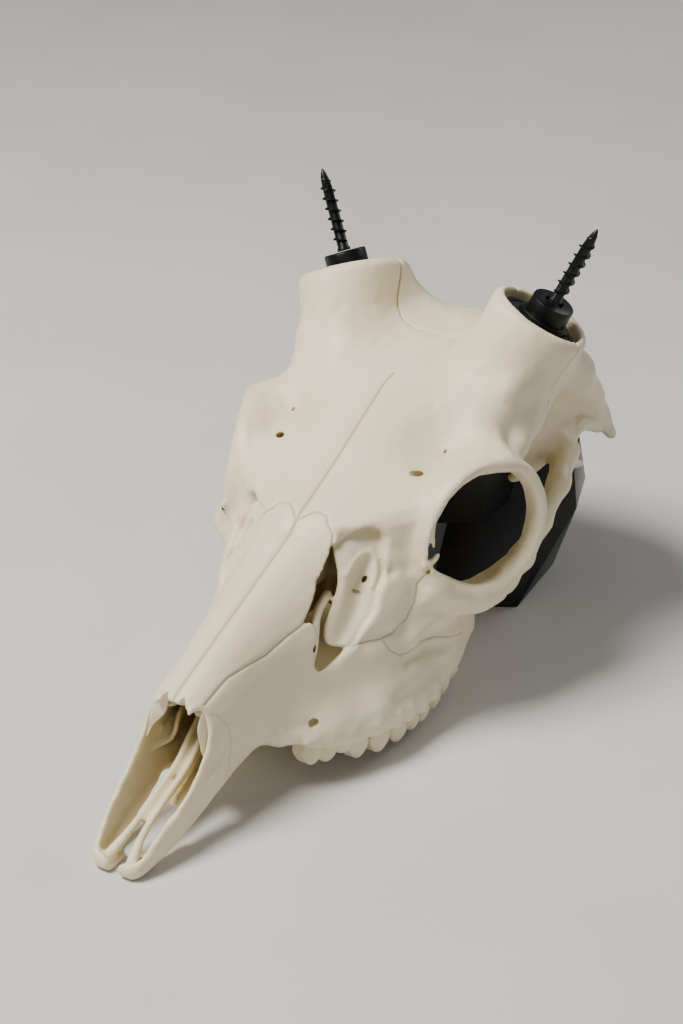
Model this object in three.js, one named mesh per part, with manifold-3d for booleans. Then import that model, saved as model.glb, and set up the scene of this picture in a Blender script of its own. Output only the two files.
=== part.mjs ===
// Replica skull of a fallow deer with antler mounts, resting on its nose and a faceted base.
// Millimetres, +Z up. The nose points to -Y and the animal's left side is +X.
// The skull is modelled as one smooth distance field for its left half, turned into a mesh,
// parted along its bone sutures by thin cuts, and mirrored.
import * as THREE from 'three';
import { ConvexGeometry } from 'three/addons/geometries/ConvexGeometry.js';
import { mergeVertices } from 'three/addons/utils/BufferGeometryUtils.js';
import Module from 'manifold-3d';

const wasm = await Module();
wasm.setup();

// Overall sizes. Skull stations are measured back from the nose, FOOT_Y is the base's centre.
const FOOT_Y = 256;
const GAP = 0.3;
const WALL = 3.8;
const CELL = 1.8;
const HALF_TRIANGLES = 4200;
const MIDLINE_MARGIN = 5;
const FIELD_LOW = [-MIDLINE_MARGIN, -4, -3];
const FIELD_HIGH = [70, 296, 146];

// Height of the dorsal outline along the skull.
const DORSAL = [[0, 3], [12, 17], [30, 36], [47, 49.6], [70, 59.3], [90, 67.5], [110, 75.4], [128, 82.8],
  [145, 90.5], [160, 98], [175, 106], [188, 112], [205, 117.4], [220, 119], [235, 116.8], [248, 111.5]];

// Face tube: lower edge, half widths near the top and the bottom of the section.
const FACE_START = 10;
const FACE_END = 186;
const FACE_BOTTOM = [[0, -1], [14, -0.6], [30, 3], [50, 9], [66, 15], [80, 18], [95, 15], [110, 12],
  [150, 12], [168, 15], [180, 22], [190, 30]];
const FACE_TOP_WIDTH = [[0, 5], [12, 8.5], [30, 12], [50, 13.5], [70, 13.5], [90, 15], [110, 19.5], [130, 31],
  [150, 42], [170, 46], [190, 40]];
const FACE_BOTTOM_WIDTH = [[0, 8], [12, 11], [30, 14.5], [50, 16], [70, 18], [82, 21], [95, 29], [110, 37],
  [130, 44], [150, 47.5], [170, 48], [190, 44]];
const FACE_SQUARE_ABOVE = 2.3;
const FACE_SQUARE_BELOW = 4;

// Nose opening: everything above this edge line is cut from the snout's front.
const NOSE_EDGE = [[-5, 1], [12, 6.8], [21, 13.2], [31, 19.5], [41, 26], [48, 34.5], [51.5, 43], [52, 46]];
const NOSE_EDGE_END = 52;
const NASAL_TIP = { front: 47.5, under: 45.5 };
const NOSE_WALL = [[52, 2.5], [84, 3.8]];
const INCISIVE_SLOT = { front: [3.6, 24, 2], back: [7.2, 56, 7], radius: 3.4 };
const NOSE_CLEFT = { front: [0, 2, 4], back: [0, 27, 4], radius: 1.5 };

// Forehead plate: half width, thickness and the fall towards the brow.
const BROW_WIDTH = [[126, 18], [138, 30], [150, 42], [160, 48.5], [170, 53], [179, 56], [186, 52.5],
  [196, 44.5], [210, 41], [222, 39], [232, 30], [240, 24]];
const PLATE_THICK = 8;
const PLATE_START = 128;
const PLATE_END = 238;
const BROW_FALL = 9;
const BROW_REACH = 56;
const BROW_HOLLOW = { centre: [33, 166, 100], radius: 15, depth: 3.4 };

// Braincase, pedicles and the nuchal crest.
const BRAIN_CENTRE = [0, 242, 80];
const BRAIN_RADII = [41, 43, 35.8];
const BRAIN_FLOOR = 61;
const RIM_CENTRE = [42.2, 227.6, 134];
const RIM_NORMAL = new THREE.Vector3(0.414, 0.304, 0.858).normalize();
const RIM_RADIUS = 20.1;
const PEDICLE_ROOT = [30, 207, 105];
const PEDICLE_ROOT_RADIUS = 15;
const PEDICLE_FLANK = [[33, 236, 124, 13], [17, 240, 104, 12]];
const SOCKET_RADIUS = 16.6;
const SOCKET_DEPTH = 5.4;
const CREST = [[0, 277, 95, 5], [22, 281, 87, 4.5], [38, 281, 75, 4], [46.5, 284, 61.5, 2.4]];
const TEMPLE = [[37, 236, 112, 11], [38, 256, 97, 10.5], [38, 268, 84, 8.5], [42, 277, 71, 5]];
const TEMPORAL_LINE = [[46.5, 193, 92, 5.5], [42, 212, 97, 7], [38, 234, 105, 8]];
const BROW_NOTCH = { centre: [55, 193, 109], radius: 9.5 };
const VAULT_PAD = { radius: 13, floor: 106.3 };

// Orbit: an elliptic margin with its own axes, and the opening behind it.
const ORBIT_CENTRE = new THREE.Vector3(53.5, 167.2, 74.8);
const ORBIT_LONG = new THREE.Vector3(0.281, 0.803, 0.526).normalize();
const ORBIT_AXIS = new THREE.Vector3(0.898, -0.413, 0.151).normalize();
const ORBIT_SHORT = ORBIT_AXIS.clone().cross(ORBIT_LONG).normalize();
const ORBIT_RADII = [24.2, 22];
const ORBIT_RIM = { thick: 2.6, depth: 5.2, setBack: 3.2 };
const ORBIT_WELL = new THREE.Vector3(0.8, -0.45, 0.42).normalize();

// Zygomatic arch: centre line points with their radii.
const ARCH = [[43, 148, 57, 6], [50, 164, 50.5, 6], [54, 180, 48.5, 5], [53.5, 196, 50, 4.2],
  [52.5, 212, 57, 3.8], [51.5, 228, 66, 4], [46, 243, 72, 5], [38, 252, 75, 6]];
const ALVEOLAR = [[22, 87, 20, 4], [29, 100, 18, 6], [36, 118, 18, 6.2], [38.5, 140, 19, 6.4],
  [38.5, 160, 21, 6.4], [38, 172, 25, 6]];
const VACUITY = [[18.5, 128.5, 79, 2.6], [26.5, 134, 78, 3.6], [28, 129, 68, 5], [27.5, 122, 58, 5.6],
  [27, 114, 50, 4.2], [25.5, 104.5, 43, 2.4]];
const HALL_WIDTH = [[140, 22], [152, 28], [170, 42], [185, 43], [200, 40], [214, 38], [226, 34]];

// Sutures, as outlines seen from the side (y, z) or from above (x, y).
const SEAM = [[209, 30], [213, 66], [216, 90], [218.5, 112], [220.5, 120], [225, 126.5], [233, 136],
  [245, 149]];
const ARCH_SUTURE = { x: 46.5, top: 84, low: 190, high: 204 };
const NASAL_PLAN = [[-1, 42], [14.5, 42], [14.5, 66], [14, 82], [15.4, 101], [17.2, 114], [16.8, 122],
  [12, 130], [8, 133.6], [4, 133], [0, 127.6], [-1, 127]];
const NASAL_DEPTH = [[30, 8.5], [70, 10.5], [84, 13], [101, 18], [145, 20]];
const PREMAXILLA_SIDE = [[-20, -10], [38, -10], [43, 6], [51, 14], [56.5, 23], [59, 37], [57, 46], [50, 53],
  [-20, 70]];
const FRONTAL_SIDE = [[117, 150], [117, 76], [128, 69], [139, 74], [154, 80], [160, 68], [240, 66],
  [240, 150]];
const JUGAL_SIDE = [[133, 52], [140, 61], [150, 68], [160, 69], [240, 67], [240, 20], [186, 34], [168, 35],
  [150, 40], [138, 44]];
const JUGAL_INNER = 38;

// Cheek teeth of one side: place along the row, crown length, width and height.
const TEETH = [[93, 11.5, 9, 8], [104, 11, 10, 8], [115, 11, 11, 8], [127.5, 14, 13, 8.5], [142.5, 15, 14, 9],
  [158.5, 16, 13, 9]];
const TOOTH_ROW = [[86, 23], [95, 28], [105, 34], [118, 38.5], [135, 40.5], [150, 40.8], [168, 38.5]];
const GUM_HEIGHT = [[86, 17], [100, 13.5], [120, 13], [150, 14], [168, 17.5]];
const TOOTH_ROOT = 6;

// Antler mounts: a disc in the socket, a collar with a foot flange, and a coarse screw.
const SCREW_ROOT = new THREE.Vector3(45.4, 229.6, 139);
const SCREW_AXIS = new THREE.Vector3(0.41, 0.16, 0.898).normalize();
const PLATE_RADIUS = 15.4;
const PLATE_HIGH = 1.8;
const COLLAR = { radius: 8.2, flange: 9.8, flangeHigh: 2.2, below: 9.2 };
const COLLAR_SIDES = 20;
const SCREW = { core: 2, crest: 3.05, pitch: 4, length: 32, point: 7, shank: 2.5 };
const SCREW_SIDES = 10;
const SCREW_RINGS = 40;

// Faceted base: rings of corners as height, then the front, side and back corners.
const BASE_RINGS = [
  { z: 0, front: 219, side: [31, 237.5], back: [27, 276], end: 288 },
  { z: 36, front: 244, side: [42, 264.5], back: [33, 290], end: 301 },
  { z: 55, front: 246, side: [39, 266], back: [31, 287], end: 296 },
];
const BASE_NECK = [
  { z: 40, front: 214, side: [20, 228], back: [20, 258], end: 268 },
  { z: 82, front: 214, side: [22, 226], back: [22, 252], end: 262 },
  { z: 106, front: 226, side: [14, 234], back: [14, 248], end: 254 },
];

// Smooth curve through [y, value] pairs, level outside them.
function through(pairs) {
  const last = pairs.length - 1;
  const slope = pairs.map((pair, i) => {
    const before = pairs[Math.max(i - 1, 0)];
    const after = pairs[Math.min(i + 1, last)];
    return (after[1] - before[1]) / (after[0] - before[0]);
  });
  return (y) => {
    if (y <= pairs[0][0]) return pairs[0][1];
    if (y >= pairs[last][0]) return pairs[last][1];
    let i = 0;
    while (y > pairs[i + 1][0]) i += 1;
    const span = pairs[i + 1][0] - pairs[i][0];
    const t = (y - pairs[i][0]) / span;
    const rise = t * t * (3 - 2 * t);
    const ease = t * (1 - t);
    return pairs[i][1] * (1 - rise) + pairs[i + 1][1] * rise
      + span * ease * (slope[i] * (1 - t) - slope[i + 1] * t);
  };
}

const clamp = (value, low, high) => Math.min(Math.max(value, low), high);

function smoothMin(a, b, blend) {
  const near = Math.max(blend - Math.abs(a - b), 0) / blend;
  return Math.min(a, b) - near * near * blend / 4;
}

const smoothMax = (a, b, blend) => -smoothMin(-a, -b, blend);

// Distance to a rounded trapezium section of a tube along Y.
function section(x, z, top, bottom, topWidth, bottomWidth) {
  const half = (top - bottom) / 2;
  const square = z > bottom + half ? FACE_SQUARE_ABOVE : FACE_SQUARE_BELOW;
  const up = clamp((z - bottom) / (2 * half), 0, 1);
  const width = bottomWidth + (topWidth - bottomWidth) * up;
  const u = x / width;
  const v = Math.abs(z - bottom - half) / half;
  const reach = (u ** square + v ** square) ** (1 / square);
  if (reach < 0.05) return -Math.min(width, half);
  const steep = Math.hypot((u / reach) ** (square - 1) / width, (v / reach) ** (square - 1) / half);
  return (reach - 1) / steep;
}

function ellipsoid(x, y, z, centre, radii) {
  const u = (x - centre[0]) / radii[0];
  const v = (y - centre[1]) / radii[1];
  const w = (z - centre[2]) / radii[2];
  const reach = Math.hypot(u, v, w);
  const steep = Math.hypot(u / radii[0], v / radii[1], w / radii[2]);
  return steep < 1e-6 ? -Math.min(...radii) : reach * (reach - 1) / steep;
}

// Distance to a rounded bar that tapers from radius a[3] to b[3].
function bar(x, y, z, a, b) {
  const dx = b[0] - a[0];
  const dy = b[1] - a[1];
  const dz = b[2] - a[2];
  const along = ((x - a[0]) * dx + (y - a[1]) * dy + (z - a[2]) * dz) / (dx * dx + dy * dy + dz * dz);
  const t = clamp(along, 0, 1);
  const away = Math.hypot(x - a[0] - t * dx, y - a[1] - t * dy, z - a[2] - t * dz);
  return away - a[3] - t * (b[3] - a[3]);
}

function chain(x, y, z, points, blend) {
  let distance = Infinity;
  for (let i = 0; i + 1 < points.length; i += 1) {
    const next = bar(x, y, z, points[i], points[i + 1]);
    distance = i ? smoothMin(distance, next, blend) : next;
  }
  return distance;
}

const dorsal = through(DORSAL);
const faceBottom = through(FACE_BOTTOM);
const faceTopWidth = through(FACE_TOP_WIDTH);
const faceBottomWidth = through(FACE_BOTTOM_WIDTH);
const noseEdge = through(NOSE_EDGE);
const browWidth = through(BROW_WIDTH);
const hallWidth = through(HALL_WIDTH);
const noseWall = through(NOSE_WALL);

function face(x, y, z) {
  const tube = section(x, z, dorsal(y), faceBottom(y), faceTopWidth(y), faceBottomWidth(y));
  return smoothMax(smoothMax(tube, FACE_START - y, 5), y - FACE_END, 6);
}

function plateMiddle(x, y) {
  return dorsal(y) - PLATE_THICK / 2 - BROW_FALL * (x / BROW_REACH) ** 2;
}

function forehead(x, y, z) {
  const sheet = Math.abs(z - plateMiddle(x, y)) - PLATE_THICK / 2;
  const sides = smoothMax(sheet, x - browWidth(y), 7);
  return smoothMax(smoothMax(sides, PLATE_START - y, 4), y - PLATE_END, 4);
}

function pedicle(x, y, z) {
  const root = [...PEDICLE_ROOT, PEDICLE_ROOT_RADIUS];
  const rim = [...RIM_CENTRE, RIM_RADIUS];
  const above = (x - RIM_CENTRE[0]) * RIM_NORMAL.x + (y - RIM_CENTRE[1]) * RIM_NORMAL.y
    + (z - RIM_CENTRE[2]) * RIM_NORMAL.z;
  const stem = smoothMin(bar(x, y, z, root, rim), chain(x, y, z, PEDICLE_FLANK, 4), 10);
  return smoothMax(stem, above, 4);
}

// Coordinates in the orbit's own axes: along its long and short radius and out of it.
function orbitPlace(x, y, z) {
  const p = new THREE.Vector3(x, y, z).sub(ORBIT_CENTRE);
  return [p.dot(ORBIT_LONG), p.dot(ORBIT_SHORT), p.dot(ORBIT_AXIS)];
}

// Signed distance of the left half of the skull, where x is the distance from the midline.
function skull(across, y, z) {
  const x = Math.abs(across);
  const tube = face(x, y, z);
  const brain = ellipsoid(x, y, z, BRAIN_CENTRE, BRAIN_RADII);
  const plate = forehead(x, y, z);
  let solid = smoothMin(tube, plate, 9);
  solid = smoothMin(solid, smoothMin(plate, brain, 8), 1);
  solid = smoothMin(solid, brain, 4);
  solid = smoothMin(solid, chain(x, y, z, ALVEOLAR, 5), 12);
  solid = smoothMin(solid, chain(x, y, z, TEMPLE, 6), 8);
  solid = smoothMin(solid, chain(x, y, z, TEMPORAL_LINE, 4), 6);
  solid = smoothMin(solid, pedicle(x, y, z), 14);
  const hollow = BROW_HOLLOW.radius - Math.hypot(x - BROW_HOLLOW.centre[0], y - BROW_HOLLOW.centre[1],
    z - BROW_HOLLOW.centre[2] - BROW_HOLLOW.radius + BROW_HOLLOW.depth);
  solid = smoothMax(solid, hollow, 8);
  const [notchX, notchY, notchZ] = BROW_NOTCH.centre;
  const notch = BROW_NOTCH.radius - Math.hypot(x - notchX, y - notchY, z - notchZ);
  solid = smoothMax(solid, notch, 8);

  // The insides: nasal passage, the open hall under the forehead, and the brain's vault.
  const passage = smoothMax(tube + noseWall(y), -y + 4, 3);
  const roof = z - plateMiddle(x, y) + PLATE_THICK / 2;
  const hall = Math.max(smoothMax(roof, x - hallWidth(y), 6), 146 - y, y - 226, 24 - z);
  const vault = ellipsoid(x, y, z, BRAIN_CENTRE, BRAIN_RADII.map((radius) => radius - WALL));
  let inside = smoothMin(smoothMin(passage, hall, 4), vault, 5);
  const below = Math.max(z - BRAIN_FLOOR, 187 - y);
  inside = Math.min(inside, below);
  const pad = Math.max(Math.hypot(x, y - BRAIN_CENTRE[1]) - VAULT_PAD.radius, VAULT_PAD.floor - z);
  inside = smoothMax(inside, -pad, 2);
  solid = smoothMax(solid, -inside, 1.5);

  // The orbit, its margin, the arch and the crest.
  const [long, short, out] = orbitPlace(x, y, z);
  const oval = Math.hypot(long / ORBIT_RADII[0], short / ORBIT_RADII[1]) - 1;
  const radial = oval * ORBIT_RADII[1];
  const inLong = long - out * ORBIT_WELL.dot(ORBIT_LONG) / ORBIT_WELL.dot(ORBIT_AXIS);
  const inShort = short - out * ORBIT_WELL.dot(ORBIT_SHORT) / ORBIT_WELL.dot(ORBIT_AXIS);
  const wellOval = Math.hypot(inLong / ORBIT_RADII[0], inShort / ORBIT_RADII[1]) - 1;
  const well = Math.max(wellOval * ORBIT_RADII[1] + ORBIT_RIM.thick - 1, out - 14, -out - 36);
  solid = smoothMax(solid, -well, 3);
  const flat = (out + ORBIT_RIM.setBack) * ORBIT_RIM.thick / ORBIT_RIM.depth;
  const rim = Math.hypot(radial - ORBIT_RIM.thick * 0.6, flat) - ORBIT_RIM.thick;
  solid = smoothMin(solid, rim, 4);
  solid = smoothMin(solid, smoothMax(chain(x, y, z, ARCH, 4), -well, 3), 6);
  solid = smoothMin(solid, chain(x, y, z, CREST, 3), 7);

  // The nose opening, the slots in its floor, and the gap beside the nasal bones.
  const nasalTip = Math.max(NASAL_TIP.under - z, NASAL_TIP.front - y);
  const mouth = Math.max(y - NOSE_EDGE_END, (noseEdge(y) - z) * 0.75, -nasalTip);
  solid = smoothMax(solid, -mouth, 1.5);
  const slotEnd = ([across, along, up], radius) => [across, along, up * 0.4, radius];
  const slotFront = slotEnd(INCISIVE_SLOT.front, INCISIVE_SLOT.radius * 0.6);
  const slot = bar(x, y, z * 0.4, slotFront, slotEnd(INCISIVE_SLOT.back, INCISIVE_SLOT.radius));
  solid = smoothMax(solid, -slot, 1.5);
  const cleft = bar(x, y, z * 0.2, [...NOSE_CLEFT.front.slice(0, 2), 0.8, NOSE_CLEFT.radius],
    [...NOSE_CLEFT.back.slice(0, 2), 0.8, NOSE_CLEFT.radius]);
  solid = smoothMax(solid, -cleft, 1.5);
  return smoothMax(solid, -chain(x, y, z, VACUITY, 3), 2);
}

// Dual surface: in each cell one vertex for each sheet of the surface, joined by quads across the grid edges.
function netSurface(field, low, high, cell) {
  const count = low.map((start, axis) => Math.ceil((high[axis] - start) / cell) + 1);
  const [nx, ny, nz] = count;
  const at = (i, j, k) => (i * ny + j) * nz + k;
  const value = new Float32Array(nx * ny * nz).fill(cell);
  for (let i = 1; i < nx - 1; i += 1) {
    for (let j = 1; j < ny - 1; j += 1) {
      for (let k = 1; k < nz - 1; k += 1) {
        value[at(i, j, k)] = field(low[0] + i * cell, low[1] + j * cell, low[2] + k * cell);
      }
    }
  }
  const steps = [at(1, 0, 0), at(0, 1, 0), at(0, 0, 1)];
  const isIn = (corner) => value[corner] < 0;
  const sheetOf = new Map();
  const points = [];
  const groupOf = new Int32Array(12);
  const root = (edge) => {
    let top = edge;
    while (groupOf[top] !== top) top = groupOf[top];
    return top;
  };
  const join = (first, second) => {
    groupOf[root(first)] = root(second);
  };
  const linkFace = (corner, axis, side) => {
    const [b, c] = [(axis + 1) % 3, (axis + 2) % 3];
    const start = corner + side * steps[axis];
    const inside = [0, 1, 2, 3].map((bit) => isIn(start + (bit & 1) * steps[b] + (bit >> 1) * steps[c]));
    const alongB = (up) => b * 4 + up + 2 * side;
    const alongC = (up) => c * 4 + side + 2 * up;
    const crossed = [];
    [0, 1].forEach((up) => {
      if (inside[2 * up] !== inside[2 * up + 1]) crossed.push(alongB(up));
      if (inside[up] !== inside[up + 2]) crossed.push(alongC(up));
    });
    if (crossed.length === 2) join(crossed[0], crossed[1]);
    if (crossed.length === 4) {
      inside.forEach((within, bit) => {
        if (within) join(alongB(bit >> 1), alongC(bit & 1));
      });
    }
  };
  for (let i = 0; i < nx - 1; i += 1) {
    for (let j = 0; j < ny - 1; j += 1) {
      for (let k = 0; k < nz - 1; k += 1) {
        const corner = at(i, j, k);
        let filled = 0;
        for (let bit = 0; bit < 8; bit += 1) {
          const offset = (bit & 1) * steps[0] + ((bit >> 1) & 1) * steps[1] + (bit >> 2) * steps[2];
          if (isIn(corner + offset)) filled += 1;
        }
        if (filled > 0 && filled < 8) {
          for (let edge = 0; edge < 12; edge += 1) groupOf[edge] = edge;
          for (let axis = 0; axis < 3; axis += 1) {
            linkFace(corner, axis, 0);
            linkFace(corner, axis, 1);
          }
          const sheets = new Map();
          const vertexAt = new Int32Array(12).fill(-1);
          for (let edge = 0; edge < 12; edge += 1) {
            const axis = edge >> 2;
            const bits = [edge & 1, (edge >> 1) & 1];
            const [b, c] = [(axis + 1) % 3, (axis + 2) % 3];
            const start = corner + bits[0] * steps[b] + bits[1] * steps[c];
            const [near, far] = [value[start], value[start + steps[axis]]];
            if ((near < 0) !== (far < 0)) {
              const group = root(edge);
              if (!sheets.has(group)) sheets.set(group, { sum: [0, 0, 0], edges: [] });
              const sheet = sheets.get(group);
              sheet.sum[axis] += near / (near - far);
              sheet.sum[b] += bits[0];
              sheet.sum[c] += bits[1];
              sheet.edges.push(edge);
            }
          }
          sheets.forEach(({ sum, edges }) => {
            edges.forEach((edge) => {
              vertexAt[edge] = points.length / 3;
            });
            const along = (index, axis) => low[axis] + (index + sum[axis] / edges.length) * cell;
            const place = [i, j, k].map(along);
            points.push(...place);
          });
          sheetOf.set(corner, vertexAt);
        }
      }
    }
  }
  const faces = [];
  for (let i = 0; i < nx - 1; i += 1) {
    for (let j = 0; j < ny - 1; j += 1) {
      for (let k = 0; k < nz - 1; k += 1) {
        const corner = at(i, j, k);
        for (let axis = 0; axis < 3; axis += 1) {
          const [b, c] = [steps[(axis + 1) % 3], steps[(axis + 2) % 3]];
          if (isIn(corner) !== isIn(corner + steps[axis])) {
            const quad = [[corner, 0], [corner - b, 1], [corner - b - c, 3], [corner - c, 2]]
              .map(([place, side]) => sheetOf.get(place)[axis * 4 + side]);
            if (!isIn(corner)) quad.reverse();
            faces.push(quad[0], quad[1], quad[2], quad[0], quad[2], quad[3]);
          }
        }
      }
    }
  }
  return { points, faces };
}

// Edge collapse by plane error, down to a number of triangles, keeping the surface closed.
function thinOut({ points, faces }, wanted) {
  const vertexCount = points.length / 3;
  const position = Float64Array.from(points);
  const quadric = new Float64Array(vertexCount * 10);
  const around = Array.from({ length: vertexCount }, () => new Set());
  const version = new Int32Array(vertexCount);
  const corners = Int32Array.from(faces);
  const point = (v) => [position[3 * v], position[3 * v + 1], position[3 * v + 2]];
  const minus = (a, b) => [a[0] - b[0], a[1] - b[1], a[2] - b[2]];
  const cross = (a, b) => [a[1] * b[2] - a[2] * b[1], a[2] * b[0] - a[0] * b[2], a[0] * b[1] - a[1] * b[0]];
  const dot = (a, b) => a[0] * b[0] + a[1] * b[1] + a[2] * b[2];
  const faceNormal = (a, b, c) => cross(minus(b, a), minus(c, a));
  let live = faces.length / 3;
  for (let f = 0; f < live; f += 1) {
    const trio = [corners[3 * f], corners[3 * f + 1], corners[3 * f + 2]];
    const [a, b, c] = trio.map(point);
    const normal = faceNormal(a, b, c);
    const length = Math.hypot(...normal) || 1e-12;
    const n = normal.map((part) => part / length);
    const plane = [...n, -dot(n, a)];
    trio.forEach((v) => {
      around[v].add(f);
      let slot = 10 * v;
      for (let i = 0; i < 4; i += 1) {
        for (let j = i; j < 4; j += 1) {
          quadric[slot] += plane[i] * plane[j] * length;
          slot += 1;
        }
      }
    });
  }
  const errorAt = (q, p) => q[0] * p[0] * p[0] + 2 * q[1] * p[0] * p[1] + 2 * q[2] * p[0] * p[2]
    + 2 * q[3] * p[0] + q[4] * p[1] * p[1] + 2 * q[5] * p[1] * p[2] + 2 * q[6] * p[1]
    + q[7] * p[2] * p[2] + 2 * q[8] * p[2] + q[9];
  const bestPlace = (a, b) => {
    const q = [];
    for (let i = 0; i < 10; i += 1) q.push(quadric[10 * a + i] + quadric[10 * b + i]);
    const middle = point(a).map((part, i) => (part + point(b)[i]) / 2);
    const choices = [point(a), point(b), middle];
    const solver = new THREE.Matrix3().set(q[0], q[1], q[2], q[1], q[4], q[5], q[2], q[5], q[7]);
    const size = q[0] + q[4] + q[7];
    if (Math.abs(solver.determinant()) > 1e-4 * size ** 3) {
      const solved = new THREE.Vector3(-q[3], -q[6], -q[8]).applyMatrix3(solver.invert());
      const best = solved.toArray();
      const reach = 2 * Math.hypot(...minus(point(a), point(b)));
      if (Math.hypot(...minus(best, middle)) < reach) choices.push(best);
    }
    let found = null;
    choices.forEach((place) => {
      const cost = errorAt(q, place);
      if (!found || cost < found.cost) found = { cost, place };
    });
    const edge = Math.hypot(...minus(point(a), point(b)));
    return { cost: Math.max(found.cost, 0) + 1e-4 * edge ** 3, place: found.place };
  };
  const heap = [];
  const push = (item) => {
    let i = heap.push(item) - 1;
    while (i > 0) {
      const parent = (i - 1) >> 1;
      if (heap[parent].cost <= heap[i].cost) break;
      [heap[parent], heap[i]] = [heap[i], heap[parent]];
      i = parent;
    }
  };
  const pop = () => {
    const top = heap[0];
    const end = heap.pop();
    if (heap.length) {
      heap[0] = end;
      let i = 0;
      for (;;) {
        let small = i;
        if (2 * i + 1 < heap.length && heap[2 * i + 1].cost < heap[small].cost) small = 2 * i + 1;
        if (2 * i + 2 < heap.length && heap[2 * i + 2].cost < heap[small].cost) small = 2 * i + 2;
        if (small === i) break;
        [heap[small], heap[i]] = [heap[i], heap[small]];
        i = small;
      }
    }
    return top;
  };
  const neighbours = (v) => {
    const found = new Set();
    around[v].forEach((f) => [0, 1, 2].forEach((i) => found.add(corners[3 * f + i])));
    found.delete(v);
    return found;
  };
  const offer = (a, b) => push({ a, b, va: version[a], vb: version[b], ...bestPlace(a, b) });
  for (let v = 0; v < vertexCount; v += 1) {
    neighbours(v).forEach((w) => {
      if (v < w) offer(v, w);
    });
  }
  while (live > wanted && heap.length) {
    const { a, b, va, vb, place } = pop();
    if (version[a] === va && version[b] === vb && around[a].size && around[b].size) {
      const ring = neighbours(a);
      const shared = [...neighbours(b)].filter((v) => ring.has(v));
      const moved = [...around[a], ...around[b]].filter((f) => !(around[a].has(f) && around[b].has(f)));
      const keeps = moved.every((f) => {
        const trio = [corners[3 * f], corners[3 * f + 1], corners[3 * f + 2]];
        const before = faceNormal(...trio.map(point));
        const places = trio.map((v) => (v === a || v === b ? place : point(v)));
        const after = faceNormal(...places);
        const longest = Math.max(...places.map((p, i) => Math.hypot(...minus(p, places[(i + 1) % 3]))));
        return dot(before, after) > 0.35 * Math.hypot(...before) * Math.hypot(...after)
          && Math.hypot(...after) > 0.06 * longest * longest;
      });
      if (shared.length === 2 && keeps) {
        position.set(place, 3 * a);
        for (let i = 0; i < 10; i += 1) quadric[10 * a + i] += quadric[10 * b + i];
        [...around[b]].forEach((f) => {
          const trio = [corners[3 * f], corners[3 * f + 1], corners[3 * f + 2]];
          if (trio.includes(a)) {
            trio.forEach((v) => around[v].delete(f));
            live -= 1;
          } else {
            corners[3 * f + trio.indexOf(b)] = a;
            around[a].add(f);
          }
        });
        around[b].clear();
        version[b] += 1;
        version[a] += 1;
        neighbours(a).forEach((v) => offer(a, v));
      }
    }
  }
  const index = new Map();
  const outPoints = [];
  const outFaces = [];
  around.forEach((set, v) => {
    if (set.size) {
      index.set(v, outPoints.length / 3);
      outPoints.push(...point(v));
    }
  });
  const kept = new Set();
  around.forEach((set) => set.forEach((f) => kept.add(f)));
  kept.forEach((f) => [0, 1, 2].forEach((i) => outFaces.push(index.get(corners[3 * f + i]))));
  return { points: outPoints, faces: outFaces };
}

// Between three.js geometry and solids.
const toSolid = (points, faces) => new wasm.Manifold(new wasm.Mesh({
  numProp: 3,
  vertProperties: Float32Array.from(points),
  triVerts: Uint32Array.from(faces),
}));

function solidOf(geometry, matrix = new THREE.Matrix4()) {
  let plain = geometry.clone().applyMatrix4(matrix);
  plain.deleteAttribute('normal');
  if (plain.getAttribute('uv')) plain.deleteAttribute('uv');
  plain = mergeVertices(plain, 1e-4);
  const corners = [...plain.index.array];
  const faces = [];
  for (let i = 0; i < corners.length; i += 3) {
    const trio = corners.slice(i, i + 3);
    if (new Set(trio).size === 3) faces.push(...trio);
  }
  return toSolid(plain.getAttribute('position').array, faces);
}

function geometryOf(solid) {
  const mesh = solid.getMesh();
  const geometry = new THREE.BufferGeometry();
  const flat = [];
  for (let i = 0; i < mesh.numVert; i += 1) {
    flat.push(...mesh.vertProperties.slice(i * mesh.numProp, i * mesh.numProp + 3));
  }
  geometry.setAttribute('position', new THREE.Float32BufferAttribute(flat, 3));
  geometry.setIndex([...mesh.triVerts]);
  geometry.computeVertexNormals();
  return geometry;
}

function largest(solid) {
  return solid.decompose().sort((a, b) => b.volume() - a.volume())[0];
}

function mirrored(solid) {
  const mesh = solid.getMesh();
  const flipped = (value, i) => (i % mesh.numProp === 0 ? -value : value);
  const points = Float32Array.from(mesh.vertProperties, flipped);
  const faces = [];
  for (let i = 0; i < mesh.triVerts.length; i += 3) {
    faces.push(mesh.triVerts[i], mesh.triVerts[i + 2], mesh.triVerts[i + 1]);
  }
  return toSolid(points, faces);
}

// Outline moved outwards by a distance, inwards where it is negative.
function offsetOutline(outline, distance) {
  const area = THREE.ShapeUtils.area(outline.map(([u, v]) => new THREE.Vector2(u, v)));
  const sign = Math.sign(area) * distance;
  return outline.map((corner, i) => {
    const before = outline[(i + outline.length - 1) % outline.length];
    const after = outline[(i + 1) % outline.length];
    const first = new THREE.Vector2(corner[1] - before[1], before[0] - corner[0]).normalize();
    const second = new THREE.Vector2(after[1] - corner[1], corner[0] - after[0]).normalize();
    const miter = first.clone().add(second);
    miter.multiplyScalar(2 * sign / miter.lengthSq());
    return [corner[0] + miter.x, corner[1] + miter.y];
  });
}

function extruded(outline, depth) {
  const shape = new THREE.Shape(outline.map(([u, v]) => new THREE.Vector2(u, v)));
  return new THREE.ExtrudeGeometry(shape, { depth, bevelEnabled: false });
}

// A block seen from the side as a (y, z) outline, from x = start to end.
function sideBlock(outline, start, end) {
  const turn = new THREE.Matrix4().set(0, 0, 1, start, 1, 0, 0, 0, 0, 1, 0, 0, 0, 0, 0, 1);
  return solidOf(extruded(outline, end - start), turn);
}

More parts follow.
